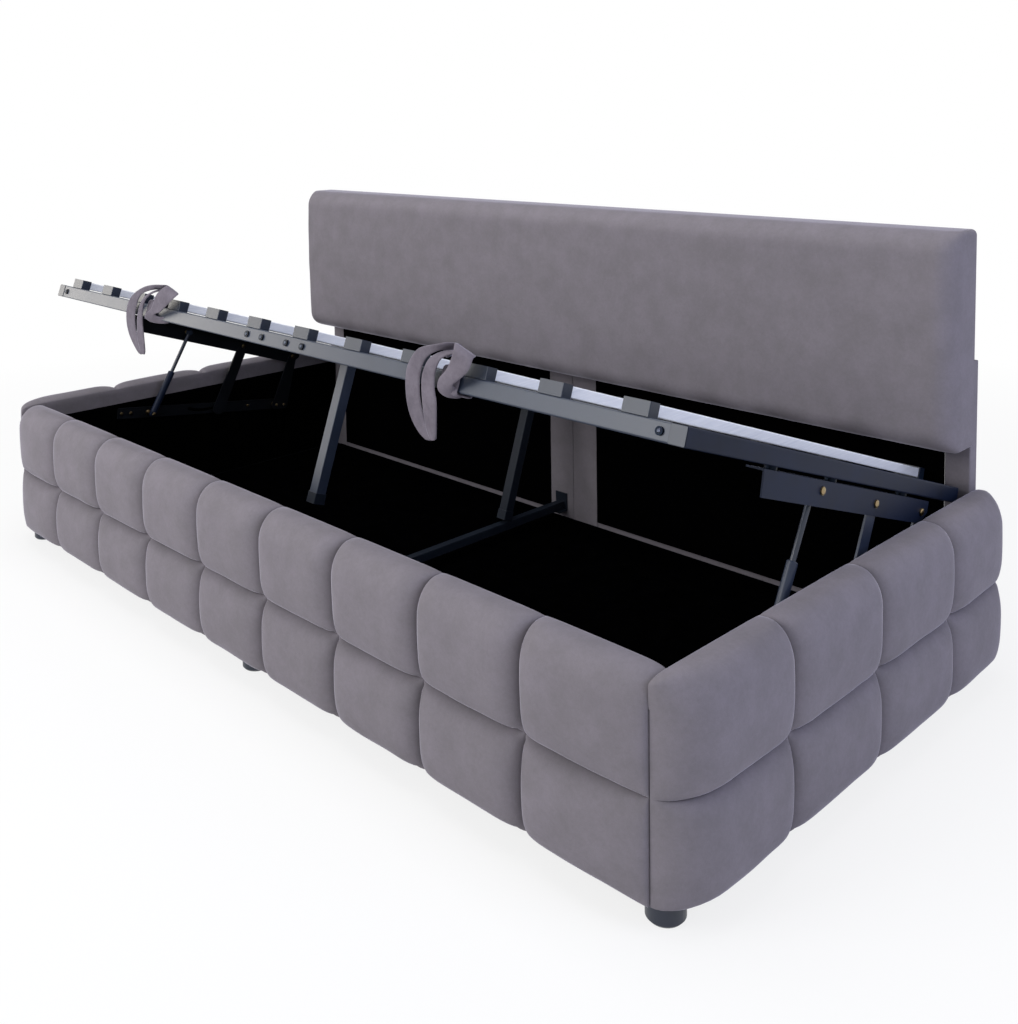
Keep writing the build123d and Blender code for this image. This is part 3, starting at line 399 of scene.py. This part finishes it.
# the legs, crossbar, hangers and rails at the back take the darker copy of the coat as painted shade
for node in ("leg_rear", "leg_caps", "floor_crossbar", "crossbar_hangers", "rear_rail_left",
             "rear_rail_right"):
    frame["nodes"][node].data.materials[0] = rear_shade_coat
# the strut, stay and hinge upright on the right take the slightly darker copy as painted shade
for node in ("strut_cylinder_right", "stay_right", "hinge_upright_right"):
    frame["nodes"][node].data.materials[0] = right_ironwork_shade_coat
# the ledges, centre bar and corner plates inside the box, and the brackets, upright and stay on the left,
# take the near black copy as painted shade
for node in ("floor_ledges", "floor_centre_bar", "corner_plates", "upper_bracket_left", "lower_bracket_left",
             "hinge_upright_left", "stay_left"):
    frame["nodes"][node].data.materials[0] = near_black_shade_coat


# Making pieces
def finish_piece(bm, name, material, body, crease=crease_angle):
    """Turns a bmesh into a shown piece that rides on one of the frame's bodies."""
    bmesh.ops.recalc_face_normals(bm, faces=bm.faces)
    mesh = bpy.data.meshes.new(name)
    bm.to_mesh(mesh)
    bm.free()
    piece = bpy.data.objects.new(name, mesh)
    bpy.context.scene.collection.objects.link(piece)
    mesh.materials.append(material)
    mesh.shade_smooth()
    mesh.set_sharp_from_angle(angle=crease)
    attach(piece, body)
    return piece


def shaped_grid(across, along, place):
    """A grid of points whose every point is moved to where place(column, row) says."""
    bm = bmesh.new()
    bmesh.ops.create_grid(bm, x_segments=across, y_segments=along, size=0.5)
    for vert in bm.verts:
        vert.co = place(round((vert.co.x + 0.5) * across), round((vert.co.y + 0.5) * along))
    return bm


def close_up(bm):
    """Joins edges that meet and fills the open ends."""
    bmesh.ops.remove_doubles(bm, verts=bm.verts, dist=merge_distance)
    bmesh.ops.holes_fill(bm, edges=[e for e in bm.edges if e.is_boundary], sides=0)
    bmesh.ops.dissolve_degenerate(bm, dist=sliver_distance, edges=bm.edges)


def swell(distance, reach):
    """How far a puff has risen at a distance from its seam, from 0 to 1, as a quarter round."""
    return sqrt(max(0.0, 1 - (1 - min(distance / reach, 1)) ** 2))


# Tufted panels
steps_per_column = 22
# the zones of a panel's section from its inner lower edge outwards, up and back over, with their steps
profile_zones = [("under", 4), ("lower", 20), ("upper", 13), ("round", 9), ("over", 7), ("lip", 3),
                 ("tuck", 1), ("behind", 6)]
profile_steps = [(zone, step / count) for zone, count in profile_zones for step in range(count)]
profile_steps.append(("behind", 1.0))


def eased(share):
    """Spreads steps so that they crowd together at both ends."""
    return (1 - cos(pi * share)) / 2


def crown_at(height, row_low, row_high):
    """How full a puff is at a height of its row: fullest in the middle."""
    return crown_share + (1 - crown_share) * sin(pi * (height - row_low) / (row_high - row_low)) ** 2


def level(across, up, squareness=1.0):
    """How far a puff has risen where it is so near its upright and its level seam, as shares of the reach.

    Its corners are rounder than its sides, which leaves a small hollow where four puffs meet."""
    return sqrt(max(0.0, 1 - across ** 2 - up ** 2 + squareness * (across * up) ** 2))


def groove(distance):
    """How deep the sewn line pulls the cover in at a distance from it."""
    return groove_depth * (1 - swell(distance, groove_reach))


def panel_profile(zone, share, face, inner, bulge, station):
    """A point of the panel's section: how far out it lies, and how high."""
    _, across, body, near_seam, squareness, drop = station
    low = foot_height
    rise = level(across, 0)
    if zone == "under":
        return inner + lining + (face - inner - lining) * share, low
    if zone in ("lower", "upper"):
        row_low, row_high = (low, mid_seam) if zone == "lower" else (mid_seam, top_seam)
        end = mid_seam if zone == "lower" else top_seam - tuft_reach
        height = row_low + (end - row_low) * (eased(share) if zone == "lower" else 1 - cos(pi / 2 * share))
        near = min(height - row_low, mid_seam - height if zone == "lower" else tuft_reach)
        rise = level(across, 1 - min(near / tuft_reach, 1), squareness)
        sewn = max(groove(near_seam), groove(abs(height - mid_seam))) * min(1.0, 2 * body)
        fullness = seam_share + (crown_at(height, row_low, row_high) - seam_share) * rise
        return face - sewn + bulge * fullness, height
    shoulder = top_seam - tuft_reach
    sewn = groove(near_seam) * min(1.0, 2 * body)
    edge = face - sewn + bulge * (seam_share + rise * (crown_at(shoulder, mid_seam, top_seam) - seam_share))
    inset = crest_inset + (face - inner - crest_inset) * (1 - rise) * crest_closing_share
    crest = (face - inset * body, top_seam + crest_rise * rise - sewn * crest_groove_share - drop)
    if zone == "round":
        turn = pi / 2 * share
        return crest[0] + (edge - crest[0]) * cos(turn), shoulder + (crest[1] - shoulder) * sin(turn)
    if zone == "over":
        turn = pi / 2 * share
        top = top_seam - drop
        return crest[0] + (inner - crest[0]) * sin(turn), top + (crest[1] - top) * cos(turn)
    if zone == "lip":
        return inner, top_seam - drop - (lip_height - drop) * share
    if zone == "tuck":
        return inner + lining * share, top_seam - lip_height
    return inner + lining, top_seam - lip_height - (top_seam - lip_height - low) * share


def station_list(length, columns, first, last, trim=0):
    """Places along a panel, with the nearness of an upright seam, as a share and in metres, the thickness of
    the panel there, how square the puffs' corners are, and how far its top falls away at its own ends.

    The last column is narrower than the others by the trim."""
    pitch = (length + trim) / columns
    stations = []
    for column in range(columns):
        width = pitch - trim if column == columns - 1 else pitch
        before = first if column == 0 else (tuft_reach, 0)
        after = last if column == columns - 1 else (tuft_reach, 0)
        for step in range(steps_per_column + (column == columns - 1)):
            along = eased(step / steps_per_column) * width
            across = max(1 - along / before[0], 1 - (width - along) / after[0], 0)
            body = swell(along, before[1]) if before[1] else 1.0
            body *= swell(width - along, after[1]) if after[1] else 1.0
            near_seam = min(along if column else length, width - along if column < columns - 1 else length)
            own_end = min(length if column else along, length if column < columns - 1 else width - along)
            drop = end_drop * (1 - swell(own_end, end_drop_reach))
            squareness = 1.0 if own_end < near_seam else corner_share
            stations.append((column * pitch - length / 2 + along, across, max(body, seam_share), near_seam,
                             squareness, drop))
    return stations


def puckered(point, amount, seed):
    """A small hand-made unevenness in the padding."""
    offset = noise.noise_vector(Vector(point) * puckers_per_metre + Vector((seed, 0, 0)))
    return Vector(point) + offset * amount


def tufted_cover(stations, seam_out, inner_out, bulge, to_world, seed):
    """The velvet cover of one panel, puffed between its seams and wrapped over the top to the lining."""
    def place(column, row):
        distance, across, body = stations[column][:3]
        zone, share = profile_steps[row]
        face = inner_out + (seam_out - inner_out) * body
        out, up = panel_profile(zone, share, face, inner_out, bulge, stations[column])
        point = to_world(distance, out, up)
        if zone in ("lower", "upper", "round"):
            return puckered(point, pucker_depth * level(across, 0), seed)
        return Vector(point)

    bm = shaped_grid(len(stations) - 1, len(profile_steps) - 1, place)
    close_up(bm)
    return bm


def inner_board(node, name, ends):
    """The chipboard inside a panel, kept a little back from the cover at its top, ends and outer side."""
    low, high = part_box(node)
    size = [high[i] - low[i] for i in range(3)]
    middle = Vector([(low[i] + high[i]) / 2 for i in range(3)])
    size = [size[0] - 2 * ends[0], size[1] - 2 * ends[1], size[2] - board_top_back]
    bm = bmesh.new()
    bmesh.ops.create_cube(bm, size=1.0)
    bmesh.ops.scale(bm, vec=size, verts=bm.verts)
    bmesh.ops.bevel(bm, geom=bm.edges[:], affect="EDGES", offset=board_round, segments=2, profile=0.5,
                    material=-1)
    bmesh.ops.translate(bm, vec=middle - Vector((0, 0, board_top_back / 2)), verts=bm.verts)
    piece = finish_piece(bm, name, chipboard, "bed_box")
    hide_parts(node)


inner_board("front_panel_board", "front_board", (board_end_back, board_side_back))
for side in ("left", "right"):
    inner_board(f"end_panel_board_{side}", f"end_board_{side}", (board_side_back, board_end_back))

front_low, front_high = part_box("front_panel_padding")
front_stations = station_list(front_high[0] - front_low[0], front_columns, (front_end_reach, 0),
                              (front_end_reach, 0))
front_cover = finish_piece(
    tufted_cover(front_stations, -front_low[1] - front_bulge, -front_high[1], front_bulge,
                 lambda distance, out, up: (distance, -out, up), front_pucker_seed),
    "front_cover", velvet, "bed_box")
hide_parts("front_panel_padding")

for side, sign in (("left", -1), ("right", 1)):
    low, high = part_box(f"end_panel_padding_{side}")
    inner_x = min(abs(low[0]), abs(high[0]))
    middle_y = (low[1] + high[1]) / 2
    stations = station_list(high[1] - low[1], end_columns, (front_corner_reach, front_corner_reach),
                            (tail_reach, tail_corner_reach), tail_trim)
    cover = finish_piece(
        tufted_cover(stations, inner_x + end_thickness, inner_x, end_bulge,
                     lambda distance, out, up: (sign * out, middle_y + distance, up), end_pucker_seed + sign),
        f"end_cover_{side}", velvet, "bed_box")
    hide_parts(f"end_panel_padding_{side}")


# Headboard
head_low, head_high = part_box("headboard_cushion")
head_across = 150
head_up = 40


def rounded_corner(x, z, outer_x, outer_z):
    """Draws a point of a square corner onto a quarter disc, by how far out it lies each way, from 0 to 1."""
    back_x = outer_x * (1 - sqrt(1 - outer_z ** 2 / 2)) * headboard_corner
    back_z = outer_z * (1 - sqrt(1 - outer_x ** 2 / 2)) * headboard_corner
    x += back_x if x < (head_low[0] + head_high[0]) / 2 else -back_x
    z += back_z if z < (head_low[2] + head_high[2]) / 2 else -back_z
    return x, z


def headboard_point(column, row):
    """The cushion's crowned face, falling away to its four edges."""
    u = eased(column / head_across)
    v = eased(row / head_up)
    x = head_low[0] + (head_high[0] - head_low[0]) * u
    z = head_low[2] + (head_high[2] - head_low[2]) * v
    near_x = min(x - head_low[0], head_high[0] - x)
    near_z = min(z - head_low[2], head_high[2] - z)
    if near_x < headboard_corner and near_z < headboard_corner:
        x, z = rounded_corner(x, z, 1 - near_x / headboard_corner, 1 - near_z / headboard_corner)
    crown = crown_share + (1 - crown_share) * (1 - (2 * v - 1) ** 2)
    rise = swell(near_x, headboard_edge) * swell(near_z, headboard_edge) * crown
    y = head_high[1] - headboard_side - headboard_crown * rise
    return puckered((x, y, z), headboard_pucker_depth * rise, headboard_pucker_seed)


def rim_in_order(bm):
    """The points of a mesh's only open rim, one after another."""
    start = next(e for e in bm.edges if e.is_boundary)
    rim_points = list(start.verts)
    last_edge = start
    while True:
        last_edge = next(e for e in rim_points[-1].link_edges if e.is_boundary and e is not last_edge)
        point = last_edge.other_vert(rim_points[-1])
        if point is rim_points[0]:
            return rim_points
        rim_points.append(point)


head = shaped_grid(head_across, head_up, headboard_point)
rim = bmesh.ops.extrude_edge_only(head, edges=[e for e in head.edges if e.is_boundary])
wall = [v for v in rim["geom"] if isinstance(v, bmesh.types.BMVert)]
for vert in wall:
    vert.co.y = head_high[1]
bmesh.ops.remove_doubles(head, verts=head.verts, dist=merge_distance)
back = head.faces.new(rim_in_order(head))
back.normal_update()
if back.normal.y < 0:
    back.normal_flip()
bmesh.ops.inset_region(head, faces=[back], thickness=cover_thickness, depth=0)
bmesh.ops.translate(head, verts=back.verts[:], vec=(0, -board_depth, 0))
headboard = finish_piece(head, "headboard_cover", velvet, "bed_box")
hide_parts("headboard_cushion")


# Pull straps
def lift_point(x, back, out):
    """A point of the raised frame from its place on the flat one: along, towards the back, and up."""
    return Vector((x, hinge_y + back * cos(lift_angle) + out * sin(lift_angle),
                   hinge_height - back * sin(lift_angle) + out * cos(lift_angle)))


def smooth_line(points, count, fine_steps=16):
    """Evenly shared points on a smooth line through the given ones."""
    points = [Vector(p) for p in points]
    ends = [2 * points[0] - points[1]] + points + [2 * points[-1] - points[-2]]
    fine = []
    for i in range(len(points) - 1):
        p0, p1, p2, p3 = ends[i:i + 4]
        for step in range(fine_steps):
            t = step / fine_steps
            fine.append(0.5 * (2 * p1 + (p2 - p0) * t + (2 * p0 - 5 * p1 + 4 * p2 - p3) * t ** 2
                               + (3 * p1 - p0 - 3 * p2 + p3) * t ** 3))
    fine.append(points[-1])
    lengths = [0.0]
    for a, b in zip(fine, fine[1:]):
        lengths.append(lengths[-1] + (b - a).length)
    line = []
    place = 0
    for step in range(count):
        wanted = lengths[-1] * step / (count - 1)
        while place < len(fine) - 2 and lengths[place + 1] < wanted:
            place += 1
        span = lengths[place + 1] - lengths[place]
        line.append(fine[place].lerp(fine[place + 1], min(1.0, (wanted - lengths[place]) / span)))
    return line


def band(edge_a, edge_b, thickness, count=40, ring=16):
    """A soft flat band between two edges: rounded sides, a little fuller along its middle."""
    left = smooth_line(edge_a, count)
    right = smooth_line(edge_b, count)

    def place(column, row):
        turn = 2 * pi * column / ring
        side = right[row] - left[row]
        middle = (left[row] + right[row]) / 2
        after = min(row + 1, count - 1)
        before = max(row - 1, 0)
        ahead = (left[after] + right[after] - left[before] - right[before]).normalized()
        up = ahead.cross(side).normalized()
        wide = abs(cos(turn)) ** strap_side_power * (1 if cos(turn) > 0 else -1)
        thick = abs(sin(turn)) ** strap_face_power * (1 if sin(turn) > 0 else -1)
        return middle + side * wide / 2 + up * thick * thickness / 2

    bm = shaped_grid(ring, count - 1, place)
    close_up(bm)
    return bm


def join(target, source):
    """Adds one bmesh to another."""
    mesh = bpy.data.meshes.new("joined")
    source.to_mesh(mesh)
    source.free()
    target.from_mesh(mesh)
    bpy.data.meshes.remove(mesh)


# the upright plane in which the straps were read from the photograph, and the lines of sight through it
strap_plane_y = -400.35 * MM
strap_sight_z = 0.383
# For each side: its line of sight, the two ends of the hitch, and three bands, each of two edges. An edge's
# points are in millimetres: along the bed and up, as seen on the hanging plane, and how far in front of it.
strap_shapes = {
    "right": (1.172, (502, 548), (
        (((556, 706, -62), (566, 716, -36), (531, 713.5, -12), (502, 706, -2), (455, 692.5, 0),
          (427.5, 663, 0), (419, 633, 0), (421, 598, 0), (431, 571, 0), (450, 549, 0), (472, 538, 1),
          (486, 543, 2)),
         ((526, 690, -62), (540, 700, -36), (518, 700, -14), (480, 683, -3), (461, 657, 0), (456, 633, 0),
          (457, 604.5, 0), (463, 584, 0), (469, 570, 0), (479, 558, 1), (487, 549, 2))),
        (((552, 690, -62), (556, 702, -36), (522, 698, -12), (484, 680, 2), (466, 655, 5), (461, 634, 6),
          (462, 605, 6), (466, 578, 5), (472, 556, 4), (481, 541, 3)),
         ((584, 690, -62), (588, 702, -36), (547, 697, -10), (514, 684, 3), (498.5, 662, 5), (494, 640, 6),
          (495, 622, 6), (498, 606, 6), (496, 549, 4), (491, 542, 3))),
        (((548, 716, -24), (546, 712, -6), (540, 694, 6), (525.5, 668, 10), (505, 648, 10), (502, 631, 8),
          (518, 622, 2), (545, 622, -10), (566, 628, -26)),
         ((598, 700, -24), (590, 694, -4), (582, 680, 5), (572, 667, 9), (553, 653, 10), (541, 645, 8),
          (543, 640, 2), (556, 641, -10), (572, 645, -26))))),
    "left": (2.01, (-520, -474), (
        (((-360, 700, -62), (-392, 716, -32), (-422, 715, -12), (-501, 705, -2), (-564, 681, 0),
          (-600, 650, 0), (-608, 613.5, 0), (-598, 583, 0), (-575, 558, 0), (-550, 541, 1), (-534, 543, 2)),
         ((-404, 690, -62), (-436, 703, -32), (-466, 701, -12), (-527, 683, -2), (-554, 655, 0),
          (-565, 626.5, 0), (-565, 603, 0), (-560, 588, 0), (-548, 566, 1), (-533, 550, 2))),
        (((-400, 690, -62), (-430, 701, -32), (-462, 697.5, -10), (-515.5, 677, 1), (-539.5, 653, 3),
          (-552, 628, 3), (-556, 604, 3), (-558, 588, 3), (-550, 558, 2), (-536, 544, 2)),
         ((-370, 694, -62), (-404, 705, -32), (-454.5, 698, -8), (-499, 680, 1), (-521.5, 655, 3),
          (-528, 623, 3), (-525.5, 592, 3), (-522, 554, 2), (-526, 543, 2))),
        (((-402, 716, -22), (-411, 714, -6), (-455, 691, 3), (-482, 657, 5), (-513, 637, 5), (-498, 625, 1),
          (-445, 625, -8), (-399, 633, -20)),
         ((-352, 702, -22), (-364, 696, -6), (-399, 677, 3), (-441, 652, 5), (-466, 645, 5), (-458, 640, 1),
          (-424, 642, -8), (-384, 648, -20))))),
}
# the hitch goes once round the square rail and a little past its start, loose on top, in shares of its reach
hitch_turn_shares = [(-1, -1), (0, -1.02), (1, -1), (1.02, 0), (1, 1.3), (0, 1.45), (-1, 1.3), (-1.02, 0),
                     (-1, -1), (0, -1.02)]
for side, (strap_sight_x, hitch, bands) in strap_shapes.items():
    strap = bmesh.new()
    for edges in bands:
        placed = [[((x + strap_sight_x * front) * MM, strap_plane_y - front * MM,
                    (z + strap_sight_z * front) * MM) for x, z, front in edge] for edge in edges]
        join(strap, band(*placed, strap_wall))
    reach = tube_side / 2 + strap_wall / 2 + hitch_clearance
    rings = [[lift_point(x * MM, rail_back + back * reach, rail_centre + out * reach)
              for back, out in hitch_turn_shares] for x in hitch]
    join(strap, band(*rings, strap_wall))
    piece = finish_piece(strap, f"strap_{side}", strap_velvet, "lift_frame",
                         crease=strap_crease_angle)
    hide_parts(f"pull_strap_{side}")


# Heads of rivets and bolts
def islands(mesh):
    """The lowest and highest corner of each separate solid of a mesh."""
    bm = bmesh.new()
    bm.from_mesh(mesh)
    seen = set()
    for first in bm.verts:
        if first in seen:
            continue
        seen.add(first)
        group = [first]
        for vert in group:
            for edge in vert.link_edges:
                other = edge.other_vert(vert)
                if other not in seen:
                    seen.add(other)
                    group.append(other)
        yield (Vector([min(v.co[i] for v in group) for i in range(3)]),
               Vector([max(v.co[i] for v in group) for i in range(3)]))
    bm.free()


def dome(bm, centre, outward, radius, height):
    """A domed rivet head that stands on a face, with a shallow dimple in its middle."""
    made = bmesh.ops.create_uvsphere(bm, u_segments=20, v_segments=12, radius=1.0)["verts"]
    turn = Vector((0, 0, 1)).rotation_difference(outward).to_matrix()
    for vert in made:
        reach = (vert.co.x ** 2 + vert.co.y ** 2) ** 0.5
        dimple = max(0.0, dimple_share - reach) * dimple_depth_share if vert.co.z > 0 else 0
        lift = (vert.co.z - dimple) * height
        vert.co = centre + turn @ Vector((vert.co.x * radius, vert.co.y * radius, lift))


for node in ("bracket_fasteners", "hinge_pins", "stay_pins", "strut_studs_lower", "strut_studs_upper"):
    solid = frame["nodes"][node]
    heads = bmesh.new()
    for low, high in islands(solid.data):
        sign = 1 if low.x + high.x > 0 else -1
        radius = (high.y - low.y) / 2 * rivet_head_share
        inner = low.x if sign > 0 else high.x
        centre = Vector((inner, (low.y + high.y) / 2, (low.z + high.z) / 2))
        dome(heads, centre, Vector((-sign, 0, 0)), radius, radius * rivet_rise)
    finish_piece(heads, f"{node}_heads", yellow_zinc, body_of(solid)[0])

# each front bolt's dark head gets a paler dome in its middle: a painted highlight
bolt_heads = bmesh.new()
front_face = rail_back - tube_side / 2
bolt_outward = (lift_point(0, -1, 0) - lift_point(0, 0, 0)).normalized()
for low, high in islands(frame["nodes"]["frame_bolts"].data):
    if high.y < lift_point(0, rail_back, rail_centre).y + tube_side:
        centre = lift_point((low.x + high.x) / 2, front_face - bolt_head_height, rail_centre)
        dome(bolt_heads, centre, bolt_outward, bolt_head_radius * bolt_dome_share,
             bolt_head_height * bolt_dome_rise)
finish_piece(bolt_heads, "front_bolt_heads", highlighted_bolt_dome, "lift_frame")


# Camera, light and floor
# the camera was solved from the photograph: its place, two directions, and the frame's sizes in pixels
camera_place = Vector((1.894875, -1.607131, 1.082503))
camera_right = Vector((0.70428643, 0.70975008, -0.01534465))
camera_forward = Vector((-0.70824825, 0.70098713, -0.0836748))
photo_height = 1024
photo_width = 1018
focal_pixels = 1129.315
horizon_centre = 208.955
middle_column = 508.609

camera_data = bpy.data.cameras.new("camera")
camera_data.sensor_fit = "VERTICAL"
camera_data.sensor_height = 36
camera_data.lens = focal_pixels * camera_data.sensor_height / photo_height
camera_data.shift_x = (photo_width / 2 - middle_column) / photo_height
camera_data.shift_y = (horizon_centre - photo_height / 2) / photo_height
camera = bpy.data.objects.new("camera", camera_data)
back_axis = -camera_forward.normalized()
right_axis = (camera_right - back_axis * camera_right.dot(back_axis)).normalized()
up_axis = back_axis.cross(right_axis)
turned = Matrix((right_axis, up_axis, back_axis)).transposed().to_4x4()
camera.matrix_world = Matrix.Translation(camera_place) @ turned
bpy.context.scene.collection.objects.link(camera)
bpy.context.scene.camera = camera


def area_light(name, place, target, width, height, power, tint):
    """A soft box that faces a point of the bed."""
    data = bpy.data.lights.new(name, "AREA")
    data.shape = "RECTANGLE"
    data.size = width
    data.size_y = height
    data.energy = power
    data.color = colour(tint)[:3]
    light = bpy.data.objects.new(name, data)
    light.location = place
    light.rotation_euler = (Vector(target) - Vector(place)).to_track_quat("-Z", "Y").to_euler()
    bpy.context.scene.collection.objects.link(light)


area_light("key", (-1.0, -3.6, 2.0), (0, 0, 0.35), 2.4, 2.0, 80, "#ffffff")
area_light("right fill", (3.6, 0.4, 2.0), (0.6, 0, 0.4), 2.0, 2.0, 46, "#d6deff")
area_light("left softbox", (-4.2, -2.4, 1.1), (0, 0, 0.5), 2.2, 2.0, 18, "#fffaf4")
area_light("top", (0, -0.4, 3.6), (0, 0, 0), 3.0, 2.0, 53, "#ffffff")
bpy.data.objects["right fill"].visible_glossy = False


def looked_at(tree):
    """1 for what the camera sees, straight or in a gloss or through glass, and 0 for the light it gives."""
    path = add(tree, "ShaderNodeLightPath")
    mirrored = add(tree, "ShaderNodeMath", {"operation": "MAXIMUM"},
                   {0: path.outputs["Is Glossy Ray"], 1: path.outputs["Is Transmission Ray"]})
    either = add(tree, "ShaderNodeMath", {"operation": "MAXIMUM"},
                 {0: path.outputs["Is Camera Ray"], 1: mirrored.outputs[0]})
    return either.outputs[0]


def studio_plate(name, half_side, matrix, material):
    """A flat square of the studio, which isn't part of the bed."""
    bm = bmesh.new()
    bmesh.ops.create_grid(bm, x_segments=1, y_segments=1, size=half_side, matrix=matrix)
    mesh = bpy.data.meshes.new(name)
    bm.to_mesh(mesh)
    bm.free()
    mesh.materials.append(material)
    plate = bpy.data.objects.new(name, mesh)
    bpy.context.scene.collection.objects.link(plate)


# soft light from all round, and a white background
world = bpy.data.worlds.new("studio")
bpy.context.scene.world = world
world.use_nodes = True
sky = world.node_tree
sky.nodes.clear()
soft = add(sky, "ShaderNodeBackground", {"Color": colour("#e9ecf2"), "Strength": 0.45})
white = add(sky, "ShaderNodeBackground", {"Color": (1, 1, 1, 1), "Strength": 1.0})
sky_mix = add(sky, "ShaderNodeMixShader", links={0: looked_at(sky), 1: soft.outputs[0], 2: white.outputs[0]})
add(sky, "ShaderNodeOutputWorld", links={"Surface": sky_mix.outputs[0]})

# a pale floor that keeps the bed's shadow and turns white further off
floor_material, floor_tree, floor_place = new_material("pale studio floor")
floor_matt = add(floor_tree, "ShaderNodeBsdfDiffuse", {"Color": colour("#f4f4f4")})
floor_white = add(floor_tree, "ShaderNodeEmission", {"Color": (1, 1, 1, 1), "Strength": 1.0})
from_middle = add(floor_tree, "ShaderNodeVectorMath", {"operation": "LENGTH"}, {0: floor_place})
fading = add(floor_tree, "ShaderNodeMapRange",
             {"From Min": 1.2, "From Max": 3.2, "To Min": 0.8, "To Max": 1.0},
             {"Value": from_middle.outputs["Value"]})
floor_share = add(floor_tree, "ShaderNodeMath", {"operation": "MULTIPLY"},
                  {0: looked_at(floor_tree), 1: fading.outputs[0]})
floor_mix = add(floor_tree, "ShaderNodeMixShader",
                links={0: floor_share.outputs[0], 1: floor_matt.outputs[0], 2: floor_white.outputs[0]})
add(floor_tree, "ShaderNodeOutputMaterial", links={"Surface": floor_mix.outputs[0]})
studio_plate("floor", 14.0, Matrix(), floor_material)

# a pale card at the left that only shows as a gleam in glossy surfaces
card_material, card_tree, _ = new_material("pale reflecting card")
card_seen = add(card_tree, "ShaderNodeLightPath")
card_clear = add(card_tree, "ShaderNodeBsdfTransparent")
card_pale = add(card_tree, "ShaderNodeEmission", {"Color": colour("#fffaf2"), "Strength": 5.0})
card_mix = add(card_tree, "ShaderNodeMixShader",
               links={0: card_seen.outputs["Is Glossy Ray"], 1: card_clear.outputs[0],
                      2: card_pale.outputs[0]})
add(card_tree, "ShaderNodeOutputMaterial", links={"Surface": card_mix.outputs[0]})
card_turn = Matrix.Translation((-4.2, -2.0, 1.1)) @ Matrix.Rotation(radians(90), 4, "Y")
studio_plate("card", 1.0, card_turn, card_material)

bpy.context.scene.view_settings.view_transform = "Standard"
